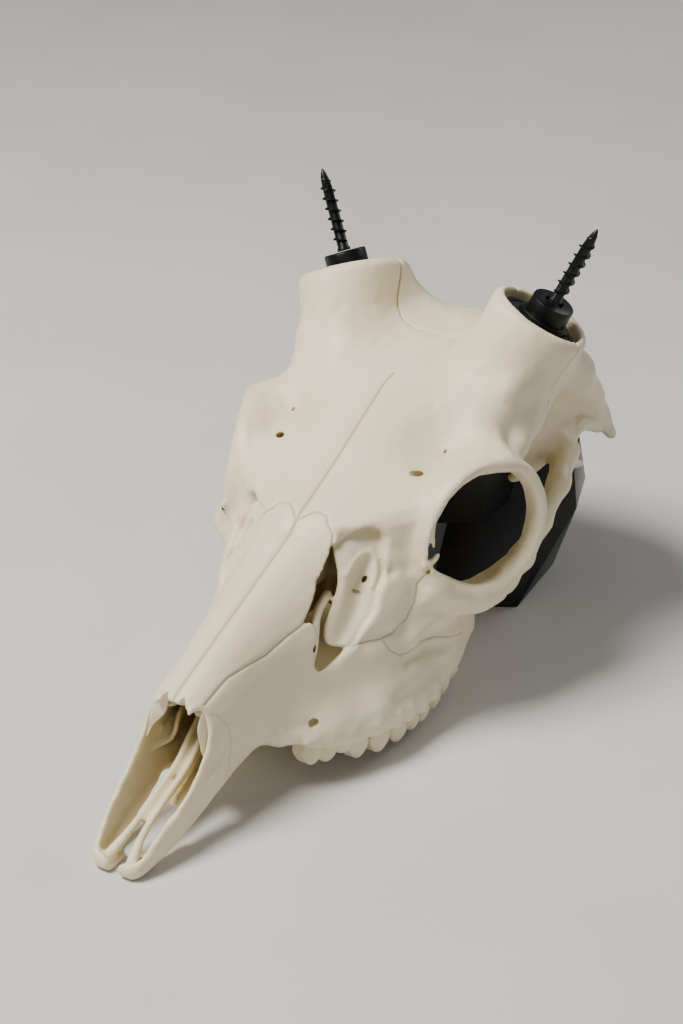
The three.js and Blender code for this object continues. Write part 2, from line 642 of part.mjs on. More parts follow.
function block(low, high) {
  const size = high.map((value, axis) => value - low[axis]);
  const middle = high.map((value, axis) => (value + low[axis]) / 2);
  return solidOf(new THREE.BoxGeometry(...size), new THREE.Matrix4().makeTranslation(...middle));
}

// Place of a turned piece whose own axis is +Y in its lathe profile.
function turnedTo(origin, axis) {
  const turn = new THREE.Quaternion().setFromUnitVectors(new THREE.Vector3(0, 1, 0), axis);
  return new THREE.Matrix4().compose(origin, turn, new THREE.Vector3(1, 1, 1));
}

function lathe(profile, sides = 28) {
  return new THREE.LatheGeometry(profile.map(([radius, height]) => new THREE.Vector2(radius, height)), sides);
}

// The skull's left half as one closed mesh, with its flat rests on the floor and the antler socket.
const half = (() => {
  const net = thinOut(netSurface(skull, FIELD_LOW, FIELD_HIGH, CELL), HALF_TRIANGLES);
  const above = block([-100, -100, 0], [100, 400, 200]);
  const rim = new THREE.Vector3(...RIM_CENTRE);
  const bore = [[0, -SOCKET_DEPTH], [SOCKET_RADIUS, -SOCKET_DEPTH], [SOCKET_RADIUS, 12], [0, 12]];
  const socket = solidOf(lathe(bore), turnedTo(rim, RIM_NORMAL));
  return largest(toSolid(net.points, net.faces).intersect(above).subtract(socket));
})();

// Front and rear shells meet at the seam behind the pedicles and at the suture of the arch.
const far = 110;
const shellOutline = (shift) => [...SEAM.map(([y, z]) => [y + shift, z]), [-60, 149], [-60, -30],
  [SEAM[0][0] + shift, -30]];
const archFront = (shift) => [[ARCH_SUTURE.low + shift, -30], [ARCH_SUTURE.high + shift, ARCH_SUTURE.top],
  [260, ARCH_SUTURE.top], [260, -30]];
const frontShell = sideBlock(shellOutline(-GAP / 2), -10, far)
  .subtract(sideBlock(archFront(-GAP / 2), ARCH_SUTURE.x, far));
const rearKeepOut = sideBlock(shellOutline(GAP / 2), -10, far)
  .subtract(sideBlock(archFront(GAP / 2), ARCH_SUTURE.x, far));
const leftSide = block([GAP / 2, -50, -20], [far, 400, 200]);
const leftOfMidline = block([0, -50, -20], [far, 400, 200]);
const front = half.intersect(frontShell).intersect(leftSide);
const rear = largest(half.subtract(rearKeepOut).intersect(leftOfMidline));
const braincase = largest(rear.add(mirrored(rear)));

// Bones of the left side, parted in turn: each takes its outline and leaves a thin gap.
function nasalBlock(grow) {
  const lowered = new THREE.Matrix4().makeTranslation(0, 0, -20);
  const plan = solidOf(extruded(offsetOutline(NASAL_PLAN, grow), 220), lowered);
  const lower = NASAL_DEPTH.map(([y, depth]) => [y, dorsal(y) - depth - grow]);
  lower.push([145, -40], [30, -40]);
  return plan.subtract(sideBlock(lower, -30, 60));
}

function part(rest, tool) {
  return [largest(rest.intersect(tool(-GAP / 2))), rest.subtract(tool(GAP / 2))];
}

const sideTool = (outline, inner) => (grow) => sideBlock(offsetOutline(outline, grow), inner - grow, far);
const [nasal, afterNasal] = part(front, nasalBlock);
const [premaxilla, afterPremaxilla] = part(afterNasal, sideTool(PREMAXILLA_SIDE, -20));
const [zygomatic, afterZygomatic] = part(afterPremaxilla, sideTool(JUGAL_SIDE, JUGAL_INNER));
const [frontal, afterFrontal] = part(afterZygomatic, sideTool(FRONTAL_SIDE, -20));
const bareMaxilla = largest(afterFrontal);

// Cheek teeth: each crown is a pair of lobes, or one lobe on the small front teeth, sunk into the bone.
const rowPlace = through(TOOTH_ROW);
const gumHeight = through(GUM_HEIGHT);
function toothLobe(y, length, width, height, lean) {
  const crown = new THREE.CylinderGeometry(0.54, 0.4, 1, 8, 1);
  const size = new THREE.Vector3(width, length, height + TOOTH_ROOT);
  const turn = new THREE.Matrix4().makeRotationX(Math.PI / 2);
  const middle = gumHeight(y) + (TOOTH_ROOT - height) / 2;
  const heading = Math.atan2(rowPlace(y + 4) - rowPlace(y - 4), 8);
  const place = new THREE.Matrix4().makeTranslation(rowPlace(y), y, middle)
    .multiply(new THREE.Matrix4().makeRotationZ(-heading))
    .multiply(new THREE.Matrix4().makeRotationX(lean))
    .multiply(new THREE.Matrix4().makeScale(size.x, size.y, size.z))
    .multiply(turn);
  return solidOf(crown, place);
}
let toothedMaxilla = bareMaxilla;
TEETH.forEach(([y, length, width, height], order) => {
  const lobes = order < 3 ? 1 : 2;
  for (let lobe = 0; lobe < lobes; lobe += 1) {
    const step = length / lobes;
    const centre = y + (lobe - (lobes - 1) / 2) * step;
    toothedMaxilla = toothedMaxilla.add(toothLobe(centre, step * 1.12, width, height, 0.12));
  }
});
const maxilla = largest(toothedMaxilla);

// Antler mounts of the left side.
const screwFoot = SCREW_ROOT.clone();
const socketFloor = new THREE.Vector3(...RIM_CENTRE).addScaledVector(RIM_NORMAL, GAP - SOCKET_DEPTH);
const plateTop = PLATE_HIGH + GAP;
const discPlate = solidOf(lathe([[0, 0], [PLATE_RADIUS, 0], [PLATE_RADIUS, PLATE_HIGH], [0, PLATE_HIGH]]),
  turnedTo(socketFloor, RIM_NORMAL));

function collarSolid() {
  const foot = -COLLAR.below;
  const step = foot + COLLAR.flangeHigh;
  const profile = [[0, foot], [COLLAR.flange, foot], [COLLAR.flange, step], [COLLAR.radius, step + 0.8],
    [COLLAR.radius, -0.8], [COLLAR.radius - 0.8, 0], [0, 0]];
  const whole = solidOf(lathe(profile, COLLAR_SIDES), turnedTo(screwFoot, SCREW_AXIS));
  const air = [[0, plateTop], [60, plateTop], [60, 90], [0, 90]];
  const aboveDisc = solidOf(lathe(air), turnedTo(socketFloor, RIM_NORMAL));
  const stem = [[0, -30], [COLLAR.flange, -30], [COLLAR.flange, foot + 2], [0, foot + 2]];
  const down = solidOf(lathe(stem, COLLAR_SIDES), turnedTo(screwFoot, SCREW_AXIS));
  return largest(whole.add(down).intersect(aboveDisc));
}

// Coarse wood screw: rings of points whose radius follows a helical crest.
function screwGeometry() {
  const points = [[0, 0, 0]];
  const faces = [];
  for (let ring = 0; ring <= SCREW_RINGS; ring += 1) {
    const height = SCREW.length * ring / SCREW_RINGS;
    const taper = clamp((SCREW.length - height) / SCREW.point, 0.08, 1);
    for (let side = 0; side < SCREW_SIDES; side += 1) {
      const angle = 2 * Math.PI * side / SCREW_SIDES;
      const turn = (height - SCREW.shank) / SCREW.pitch - side / SCREW_SIDES;
      const phase = Math.abs(turn - Math.round(turn)) * 2;
      const threaded = clamp((height - SCREW.shank) / 2, 0, 1) * clamp(taper * 1.5, 0, 1);
      const crest = threaded * (SCREW.crest - SCREW.core) * clamp(1 - phase * 1.7, 0, 1);
      const radius = SCREW.core * taper ** 0.8 + crest;
      points.push([radius * Math.cos(angle), height, -radius * Math.sin(angle)]);
    }
  }
  const tip = points.push([0, SCREW.length + 0.6, 0]) - 1;
  const at = (ring, side) => 1 + ring * SCREW_SIDES + side % SCREW_SIDES;
  for (let side = 0; side < SCREW_SIDES; side += 1) {
    faces.push(0, at(0, side + 1), at(0, side));
    for (let ring = 0; ring < SCREW_RINGS; ring += 1) {
      faces.push(at(ring, side), at(ring, side + 1), at(ring + 1, side + 1));
      faces.push(at(ring, side), at(ring + 1, side + 1), at(ring + 1, side));
    }
    faces.push(at(SCREW_RINGS, side), at(SCREW_RINGS, side + 1), tip);
  }
  const geometry = new THREE.BufferGeometry();
  geometry.setAttribute('position', new THREE.Float32BufferAttribute(points.flat(), 3));
  geometry.setIndex(faces);
  geometry.computeVertexNormals();
  return geometry;
}
const screwStart = screwFoot.clone().addScaledVector(SCREW_AXIS, GAP);
const screw = solidOf(screwGeometry(), turnedTo(screwStart, SCREW_AXIS));
const collar = collarSolid();

// Faceted base: two convex blocks of ringed corners, joined.
function ringedBlock(rings) {
  const corners = [];
  rings.forEach(({ z, front: nose, side, back, end }) => {
    corners.push(new THREE.Vector3(0, nose, z), new THREE.Vector3(0, end, z));
    [-1, 1].forEach((hand) => {
      corners.push(new THREE.Vector3(hand * side[0], side[1], z));
      corners.push(new THREE.Vector3(hand * back[0], back[1], z));
    });
  });
  return solidOf(new ConvexGeometry(corners));
}
const base = largest(ringedBlock(BASE_RINGS).add(ringedBlock(BASE_NECK)));

// Materials and the model.
const bone = new THREE.MeshStandardMaterial({ color: 0xe6dfcb, roughness: 0.5, metalness: 0 });
const black = new THREE.MeshStandardMaterial({ color: 0x0b0b0c, roughness: 0.38, metalness: 0 });
const grey = new THREE.MeshStandardMaterial({ color: 0x2c2d2f, roughness: 0.6, metalness: 0 });

const model = new THREE.Group();
model.position.set(0, -FOOT_Y, 0);
function addNode(name, solid, material) {
  const mesh = new THREE.Mesh(geometryOf(solid), material);
  mesh.name = name;
  model.add(mesh);
}
function addPair(name, solid, material) {
  addNode(`${name}_left`, solid, material);
  addNode(`${name}_right`, mirrored(solid), material);
}
addNode('braincase', braincase, bone);
addPair('frontal', frontal, bone);
addPair('nasal', nasal, bone);
addPair('maxilla', maxilla, bone);
addPair('zygomatic', zygomatic, bone);
addPair('premaxilla', premaxilla, bone);
addPair('socket_disc', discPlate, grey);
addPair('antler_collar', collar, black);
addPair('antler_screw', screw, black);
addNode('base_block', base, black);

const deerSkullMount = new THREE.Group();
deerSkullMount.add(model);
export default deerSkullMount;
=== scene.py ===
"""Moulded fallow deer skull on its base: cast shells, cheek teeth, antler mounts, studio."""
import math

import bpy
import numpy as np
from mathutils import Matrix, Vector
from mathutils.bvhtree import BVHTree
from mathutils.kdtree import KDTree


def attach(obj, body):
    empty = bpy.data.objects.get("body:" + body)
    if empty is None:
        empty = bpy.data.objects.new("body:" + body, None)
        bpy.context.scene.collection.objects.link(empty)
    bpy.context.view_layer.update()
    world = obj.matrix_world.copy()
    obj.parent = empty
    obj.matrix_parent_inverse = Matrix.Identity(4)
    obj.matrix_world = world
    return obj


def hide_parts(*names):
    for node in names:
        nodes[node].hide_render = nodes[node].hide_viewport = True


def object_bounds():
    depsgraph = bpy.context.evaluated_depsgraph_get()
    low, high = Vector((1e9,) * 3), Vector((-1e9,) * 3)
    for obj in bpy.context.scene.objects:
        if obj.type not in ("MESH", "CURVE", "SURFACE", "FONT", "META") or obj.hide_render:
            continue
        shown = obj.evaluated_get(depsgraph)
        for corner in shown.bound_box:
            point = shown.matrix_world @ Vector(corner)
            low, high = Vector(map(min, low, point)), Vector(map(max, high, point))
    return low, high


MM = 0.001
# Lengths below are in mm. The model's origin is this far back from the nose.
FOOT_Y = 256
# How far the bones grow so that they meet, and how far a half reaches past the midline.
SEAL = 0.22
MIDLINE_REACH = 2.5
# What lies this near the midline belongs to it, in a copied solid and along the finished cut.
MIDLINE_BAND = 0.3
CUT_BAND = 0.02
# Voxels of the first skin, and of the finished front and rear shells.
FIRST_VOXEL = 0.75
FRONT_VOXEL = 0.65
REAR_VOXEL = 0.7
SMOOTHING = 0.5
# Vertices nearer than this are one: of a new body, of a finished shell, and of a copied solid.
WELD = 0.001
SHELL_WELD = 0.005
COPY_WELD = 0.01
# The triangles left in a shell, and the sides of the pin holes that are closed in it.
TRIANGLE_LIMIT = 190000
PIN_HOLE_SIDES = 12
# The angles in degrees over which an edge stays sharp.
SHELL_CREASE = 50
MOUNT_CREASE = 35
SCREW_CREASE = 40
BASE_CREASE = 30

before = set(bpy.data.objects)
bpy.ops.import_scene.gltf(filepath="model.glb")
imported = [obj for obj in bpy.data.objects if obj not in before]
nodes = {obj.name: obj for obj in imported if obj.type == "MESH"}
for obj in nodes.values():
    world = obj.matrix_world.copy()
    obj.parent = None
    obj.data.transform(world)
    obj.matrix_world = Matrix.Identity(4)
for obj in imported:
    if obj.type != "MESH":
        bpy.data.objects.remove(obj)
cad_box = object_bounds()


def at(x, y, z):
    """A place on the skull, in mm with y back from the nose, as a point of the model."""
    return Vector((x, y - FOOT_Y, z)) * MM


def use_only(*pieces):
    bpy.ops.object.select_all(action="DESELECT")
    for piece in pieces:
        piece.select_set(True)
    bpy.context.view_layer.objects.active = pieces[0]


def apply(piece, kind, **settings):
    use_only(piece)
    modifier = piece.modifiers.new("shape", kind)
    for name, value in settings.items():
        setattr(modifier, name, value)
    bpy.ops.object.modifier_apply(modifier=modifier.name)
    return piece


def edit(piece, *steps):
    """Runs edit mode operators on the whole piece; each step is an operator and its settings."""
    use_only(piece)
    bpy.ops.object.mode_set(mode="EDIT")
    bpy.ops.mesh.select_all(action="SELECT")
    for operator, settings in steps:
        operator(**settings)
    bpy.ops.object.mode_set(mode="OBJECT")
    return piece


def places(piece):
    points = np.empty(len(piece.data.vertices) * 3)
    piece.data.vertices.foreach_get("co", points)
    return points.reshape(-1, 3)


def move_to(piece, points):
    piece.data.vertices.foreach_set("co", points.reshape(-1))
    piece.data.update()


def new_piece(label, points, faces=(), edges=()):
    mesh = bpy.data.meshes.new(label)
    mesh.from_pydata([tuple(point) for point in points], edges, faces)
    piece = bpy.data.objects.new(label, mesh)
    bpy.context.scene.collection.objects.link(piece)
    return piece


def join(*pieces):
    use_only(*pieces)
    bpy.ops.object.join()
    return pieces[0]


def cut(piece, cutter, operation="DIFFERENCE"):
    apply(piece, "BOOLEAN", object=cutter, operation=operation, solver="MANIFOLD")
    bpy.data.objects.remove(cutter)
    return piece


def merged(first, *others):
    for other in others:
        cut(first, other, "UNION")
    return first


def smooth_shade(piece, angle=None):
    use_only(piece)
    if angle is None:
        bpy.ops.object.shade_smooth()
    else:
        bpy.ops.object.shade_smooth_by_angle(angle=math.radians(angle))
    return piece


def mirrored(piece, label):
    copy = piece.copy()
    copy.data = piece.data.copy()
    copy.name = label
    bpy.context.scene.collection.objects.link(copy)
    copy.data.transform(Matrix.Scale(-1, 4, (1, 0, 0)))
    edit(copy, (bpy.ops.mesh.flip_normals, {}))
    return copy


# Finishes


class Value:
    """A socket of a material, with the operators that the finishes use."""

    def __init__(self, socket):
        self.socket = socket
        self.tree = socket.id_data

    def node(self, kind, inputs=None, output=0, **settings):
        made = self.tree.nodes.new("ShaderNode" + kind)
        for name, value in settings.items():
            setattr(made, name, value)
        for name, value in (inputs or {}).items():
            self.feed(made.inputs[name], value)
        return Value(made.outputs[output])

    def feed(self, socket, value):
        if isinstance(value, Value):
            self.tree.links.new(value.socket, socket)
        else:
            socket.default_value = value

    def maths(self, operation, first, second):
        return self.node("Math", {0: first, 1: second}, operation=operation)

    def __add__(self, other):
        return self.maths("ADD", self, other)

    def __sub__(self, other):
        return self.maths("SUBTRACT", self, other)

    def __rsub__(self, other):
        return self.maths("SUBTRACT", other, self)

    def __mul__(self, other):
        return self.maths("MULTIPLY", self, other)

    __radd__ = __add__
    __rmul__ = __mul__

    def between(self, low, high):
        """0 where the value is under low, 1 where it is over high, eased between them."""
        return self.node("MapRange", {0: self, 1: low, 2: high}, interpolation_type="SMOOTHSTEP")

    def mix(self, other, share):
        """This colour, with a share of the other one."""
        return self.node("Mix", {0: share, 6: self, 7: other}, output=2, data_type="RGBA")


def finish(name, **sockets):
    """A new material; returns it, its shader and the Value of its object coordinates."""
    material = bpy.data.materials.new(name)
    material.use_nodes = True
    shader = material.node_tree.nodes["Principled BSDF"]
    for socket, value in sockets.items():
        shader.inputs[socket.replace("_", " ")].default_value = value
    place = Value(material.node_tree.nodes.new("ShaderNodeTexCoord").outputs["Object"])
    return material, shader, place


def noise(place, scale, detail=3.0, roughness=0.5):
    """Noise with about scale bumps to the metre."""
    return place.node(
        "TexNoise", {"Vector": place, "Scale": scale, "Detail": detail, "Roughness": roughness}
    )


def colour(place, red, green, blue):
    made = place.node("RGB")
    made.socket.default_value = (red, green, blue, 1)
    return made


BONE_DARK = (0.80, 0.70, 0.485)
BONE_LIGHT = (0.85, 0.765, 0.56)
BONE_FLECK = (0.74, 0.66, 0.50)
# Hollows: an ochre that is partly the cast's own yellowing and partly painted shade.
CAVITY_OCHRE_AND_SHADE = (0.58, 0.47, 0.22)
# Painted shade that darkens the deepest holes.
CAVITY_PAINTED_SHADE = (0.30, 0.20, 0.07)
GROOVE_BROWN = (0.40, 0.29, 0.13)
# In metres: the heights between which the casting streaks of the pedicles begin to show.
STREAKS_FROM = (0.088, 0.12)
# In metres: the rough spot where the midline suture ends, and the distances over which it fades.
SUTURE_END = (0, -0.051, 0.119)
SUTURE_END_FADE = (0.004, 0.012)


def ivory_finish():
    material, shader, place = finish(
        "moulded_ivory",
        Subsurface_Weight=0.12,
        Subsurface_Radius=(0.9, 0.62, 0.36),
        Subsurface_Scale=0.004,
        IOR=1.46,
    )
    cavity = place.node("Attribute", attribute_name="cavity", output=2)
    groove = place.node("Attribute", attribute_name="groove", output=2)
    cloud = noise(place, 38, 4).between(0.35, 0.7)
    fleck = noise(place, 420, 2).between(0.62, 0.8)
    bone = colour(place, *BONE_DARK).mix(colour(place, *BONE_LIGHT), cloud)
    bone = bone.mix(colour(place, *BONE_FLECK), fleck * 0.18)
    # Painted shade, partly the cast's yellowing: the more enclosed a vertex lies, the more ochre it
    # turns.
    deep = cavity.between(0.15, 0.85)
    bone = bone.mix(colour(place, *CAVITY_OCHRE_AND_SHADE), deep * 0.75)
    # Painted shade: the most enclosed places turn dark brown.
    bone = bone.mix(colour(place, *CAVITY_PAINTED_SHADE), cavity.between(0.82, 1) * 0.75)
    bone = bone.mix(colour(place, *GROOVE_BROWN), groove * 0.6)
    place.feed(shader.inputs["Base Color"], bone)
    rough = 0.40 + 0.10 * cloud + 0.12 * deep + 0.15 * groove
    place.feed(shader.inputs["Roughness"], rough)
    height = place.node("SeparateXYZ", {0: place}, output=2)
    drawn_out = place.node("Mapping", {"Vector": place, "Scale": (1, 1, 0.12)})
    streaks = noise(drawn_out, 330, 3) * height.between(*STREAKS_FROM)
    suture_end = place.node("VectorMath", {0: place, 1: SUTURE_END}, output=1, operation="DISTANCE")
    rough_patch = noise(place, 700, 4) * (1 - suture_end.between(*SUTURE_END_FADE))
    pits = noise(place, 900, 3) + 0.8 * noise(place, 240, 3)
    grain = 0.4 * pits + 0.9 * streaks + 1.6 * rough_patch
    bump = place.node("Bump", {"Strength": 0.2, "Distance": 0.0006, "Height": grain})
    place.feed(shader.inputs["Normal"], bump)
    return material


def black_finish(name, tone, rough, grain_scale, strength):
    material, shader, place = finish(name, IOR=1.45, Specular_IOR_Level=0.35)
    mottle = noise(place, 160, 3).between(0.45, 0.75)
    paler = colour(place, *(2.2 * part for part in tone))
    shade = colour(place, *tone).mix(paler, mottle)
    place.feed(shader.inputs["Base Color"], shade)
    place.feed(shader.inputs["Roughness"], rough + 0.16 * noise(place, 300, 2) - 0.08)
    bump = place.node(
        "Bump",
        {"Strength": strength, "Distance": 0.0004, "Height": noise(place, grain_scale, 3)},
    )
    place.feed(shader.inputs["Normal"], bump)
    return material


IVORY = ivory_finish()
DISC_GREY = black_finish("matt_disc_grey", (0.012, 0.012, 0.013), 0.62, 1400, 0.25)
COLLAR_BLACK = black_finish("semi_gloss_collar_black", (0.003, 0.003, 0.0033), 0.38, 1200, 0.10)
SCREW_BLACK = black_finish("black_coated_steel", (0.0035, 0.0035, 0.004), 0.34, 1600, 0.08)
BASE_BLACK = black_finish("faceted_base_black", (0.003, 0.003, 0.0034), 0.33, 700, 0.08)


def done(piece, slot, material, *replaced):
    """Gives a finished piece its material and its place in the model."""
    piece.data.materials.clear()
    piece.data.materials.append(material)
    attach(piece, "root")
    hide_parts(*replaced)
    return piece


# Modelling tools


def axes(long, out):
    """A turn whose columns are across, along the long direction, and out."""
    out = Vector(out).normalized()
    across = Vector(long).cross(out).normalized()
    return Matrix((across, out.cross(across), out)).transposed()


UPRIGHT = axes((0, 1, 0), (0, 0, 1))


def blob(centre, radii, turn=UPRIGHT):
    """An ellipsoid at a place on the skull, with its radii across, long and out."""
    bpy.ops.mesh.primitive_uv_sphere_add(segments=40, ring_count=20, radius=1)
    piece = bpy.context.object
    size = Matrix.Diagonal((*(radius * MM for radius in radii), 1))
    piece.data.transform(Matrix.Translation(at(*centre)) @ turn.to_4x4() @ size)
    return piece


def rod(*stations):
    """A round bar through places on the skull, each with its radius."""
    curve = bpy.data.curves.new("rod", "CURVE")
    curve.dimensions = "3D"
    curve.bevel_depth = MM
    curve.bevel_resolution = 4
    curve.use_fill_caps = True
    spline = curve.splines.new("NURBS")
    spline.points.add(len(stations) - 1)
    for point, (x, y, z, radius) in zip(spline.points, stations):
        point.co = (*at(x, y, z), 1)
        point.radius = radius
    spline.use_endpoint_u = True
    spline.order_u = 3
    spline.resolution_u = 8
    piece = bpy.data.objects.new("rod", curve)
    bpy.context.scene.collection.objects.link(piece)
    use_only(piece)
    bpy.ops.object.convert(target="MESH")
    return closed(bpy.context.object)


def closed(piece):
    """Joins a body's loose edges and turns its faces outward."""
    return edit(
        piece,
        (bpy.ops.mesh.remove_doubles, {"threshold": WELD * MM}),
        (bpy.ops.mesh.normals_make_consistent, {"inside": False}),
    )


def loft(loops):
    """A closed body through loops of the same number of points."""
    count = len(loops[0])
    points = [point for loop in loops for point in loop]
    faces = [tuple(range(count)), tuple(range(len(points) - count, len(points)))]
    for ring in range(len(loops) - 1):
        for step in range(count):
            a, b = ring * count + step, ring * count + (step + 1) % count
            faces.append((a, b, b + count, a + count))
    return closed(new_piece("loft", points, faces))


def plan_block(outline, low, high):
    """An upright block from an outline of x, y in mm, between two heights."""
    return loft([[at(x, y, z) for x, y in outline] for z in (low, high)])


def side_block(outline, inner, outer):
    """A sideways block from an outline of y, z in mm, between two distances from the midline."""
    return loft([[at(x, y, z) for y, z in outline] for x in (inner, outer)])


def turned(profile, sides=64):
    """A lathed body from radii and heights in mm, standing on the origin."""
    points = [Vector((radius, 0, height)) * MM for radius, height in profile]
    piece = new_piece("turned", points, edges=[(i, i + 1) for i in range(len(points) - 1)])
    spin = {"steps": sides, "angle": 2 * math.pi, "center": (0, 0, 0), "axis": (0, 0, 1)}
    return closed(edit(piece, (bpy.ops.mesh.spin, spin)))


def stood(piece, foot, axis):
    """Puts a piece that stands on the origin at a point of the model, along an axis."""
    turn = Vector(axis).to_track_quat("Z", "Y").to_matrix().to_4x4()
    piece.data.transform(Matrix.Translation(foot) @ turn)
    return piece


def bisect(piece, place, normal):
    """Keeps what lies on the normal's side of a plane, with the cut closed."""
    cut_plane = {"plane_co": place, "plane_no": normal, "use_fill": True, "clear_inner": True}
    return edit(piece, (bpy.ops.mesh.bisect, {**cut_plane, "threshold": 1e-6}))


# Cast shells


def cast_copy(label, names, past_midline):
    """One mesh from copies of CAD nodes, grown until they meet; a half reaches past the midline."""
    parts = []
    for name in names:
        part = bpy.data.objects.new(label, nodes[name].data.copy())
        bpy.context.scene.collection.objects.link(part)
        parts.append(part)
    shell = join(*parts)
    shell.data.materials.clear()
    edit(shell, (bpy.ops.mesh.remove_doubles, {"threshold": COPY_WELD * MM}))
    if past_midline:
        points = places(shell)
        points[points[:, 0] < MIDLINE_BAND * MM, 0] = -MIDLINE_REACH * MM
        move_to(shell, points)
    return edit(shell, (bpy.ops.transform.shrink_fatten, {"value": SEAL * MM}))


def skin(shell, voxel, passes):
    """One even skin over all the bodies of a shell, smoothed."""
    apply(shell, "REMESH", mode="VOXEL", voxel_size=voxel * MM)
    return apply(shell, "SMOOTH", factor=SMOOTHING, iterations=passes)


def surface_tree(*pieces):
    points, faces = [], []
    for piece in pieces:
        start = len(points)
        points.extend(vertex.co for vertex in piece.data.vertices)
        faces.extend([start + i for i in face.vertices] for face in piece.data.polygons)
    return BVHTree.FromPolygons(points, faces)


# The surface at the midline is looked for from this far above, a little to the left.
LOOK_FROM = 30
OFF_MIDLINE = 0.03
# Steps along the lines of the relief and of the sutures.
RELIEF_STEP = 1
SUTURE_STEP = 0.35
# A valley or a suture ends at this many times its width.
FALL_OFF = 2.5
# Faces this near a suture are divided, and a suture this deep takes its full colour.
REFINE_REACH = 1.1
FULL_GROOVE = 0.5
# How strong the colour of the seam between the shells is, and how far from it the colour goes.
SEAM_MARK = 0.9
SEAM_REACH = 0.6


def laid(tree, point):
    """The nearest place on the surface, or for a point of the midline the place straight under it."""
    if point.x == 0:
        above = Vector((OFF_MIDLINE * MM, point.y, point.z + LOOK_FROM * MM))
        under = tree.ray_cast(above, (0, 0, -1))[0]
        if under is not None:
            return under
    return tree.find_nearest(point)[0]


def laid_line(tree, line, step):
    """Points along a line of skull places, laid on the surface."""
    stops = [at(*place) for place in line]
    points = []
    for start, end in zip(stops, stops[1:]):
        count = max(int((end - start).length / (step * MM)), 1)
        points.extend(start.lerp(end, i / count) for i in range(count))
    points.append(stops[-1])
    return [laid(tree, point) for point in points]


def vertex_tree(piece):
    tree = KDTree(len(piece.data.vertices))
    for vertex in piece.data.vertices:
        tree.insert(vertex.co, vertex.index)
    tree.balance()
    return tree


def near(points, vertices, reach):
    """For each vertex within reach of the points, its distance to the nearest one."""
    found = {}
    for point in points:
        for _, index, distance in vertices.find_range(point, reach):
            found[index] = min(distance, found.get(index, reach))
    return found


def refine(piece, points, reach):
    """Subdivides the faces that lie near the points."""
    wanted = near(points, vertex_tree(piece), reach)
    use_only(piece)
    for face in piece.data.polygons:
        face.select = False
    for edge in piece.data.edges:
        edge.select = False
    for vertex in piece.data.vertices:
        vertex.select = vertex.index in wanted
    bpy.ops.object.mode_set(mode="EDIT")
    bpy.ops.mesh.select_mode(type="VERT")
    bpy.ops.mesh.select_mode(type="FACE")
    bpy.ops.mesh.subdivide(number_cuts=2)
    bpy.ops.mesh.select_mode(type="VERT")
    bpy.ops.object.mode_set(mode="OBJECT")


def outward(piece):
    """The vertex normals, kept upright along the flat cut at the midline."""
    normals = np.empty(len(piece.data.vertices) * 3)
    piece.data.vertex_normals.foreach_get("vector", normals)
    normals = normals.reshape(-1, 3)
    points = places(piece)
    cut_edge = np.abs(points[:, 0]) < CUT_BAND * MM
    normals[cut_edge, 0] = 0
    return normals / np.maximum(np.linalg.norm(normals, axis=1, keepdims=True), 1e-6)


def press(piece, lines):
    """Presses soft valleys along lines of skull places, or ridges where the depth is below zero."""
    tree = surface_tree(piece)
    vertices = vertex_tree(piece)
    sink = np.zeros(len(piece.data.vertices))
    for line, reach, depth in lines:
        points = laid_line(tree, line, RELIEF_STEP)
        for index, distance in near(points, vertices, FALL_OFF * reach * MM).items():
            sink[index] += depth * MM * math.exp(-((distance / (reach * MM)) ** 2))
    move_to(piece, places(piece) - outward(piece) * sink[:, None])


def carve(piece, lines):
    """Sinks sutures into a shell and keeps how deep each vertex went as its groove attribute."""
    tree = surface_tree(piece)
    sutures = [(laid_line(tree, line, SUTURE_STEP), width, depth) for line, width, depth in lines]
    refine(piece, [point for points, _, _ in sutures for point in points], REFINE_REACH * MM)
    vertices = vertex_tree(piece)
    sink = np.zeros(len(piece.data.vertices))
    mark = np.zeros(len(piece.data.vertices))
    for points, width, depth in sutures:
        for index, distance in near(points, vertices, FALL_OFF * width * MM).items():
            fall = math.exp(-((distance / (width * MM)) ** 2))
            sink[index] = max(sink[index], depth * MM * fall)
            mark[index] = max(mark[index], min(depth / FULL_GROOVE, 1) * fall**2)
    move_to(piece, places(piece) - outward(piece) * sink[:, None])
    groove = piece.data.attributes.new("groove", "FLOAT", "POINT")
    groove.data.foreach_set("value", mark)
    return piece


def soften(piece, low, high, passes):
    """Evens out what lies between two corners, given as skull places."""
    points = places(piece)
    chosen = np.all((points > np.array(at(*low))) & (points < np.array(at(*high))), axis=1)
    area = piece.vertex_groups.new(name="soften")
    area.add([int(index) for index in np.nonzero(chosen)[0]], 1, "REPLACE")
    apply(piece, "SMOOTH", factor=SMOOTHING, iterations=passes, vertex_group="soften")
    piece.vertex_groups.clear()


def mark_seam(piece, *others):
    """Adds the line where a shell meets others to its groove attribute."""
    tree = surface_tree(*others)
    attributes = piece.data.attributes
    groove = attributes.get("groove") or attributes.new("groove", "FLOAT", "POINT")
    mark = np.zeros(len(piece.data.vertices))
    groove.data.foreach_get("value", mark)
    for vertex in piece.data.vertices:
        distance = tree.find_nearest(vertex.co, SEAM_REACH * MM)[3]
        if distance is not None:
            closeness = 1 - distance / (SEAM_REACH * MM)
            mark[vertex.index] = max(mark[vertex.index], SEAM_MARK * closeness)
    groove.data.foreach_set("value", mark)


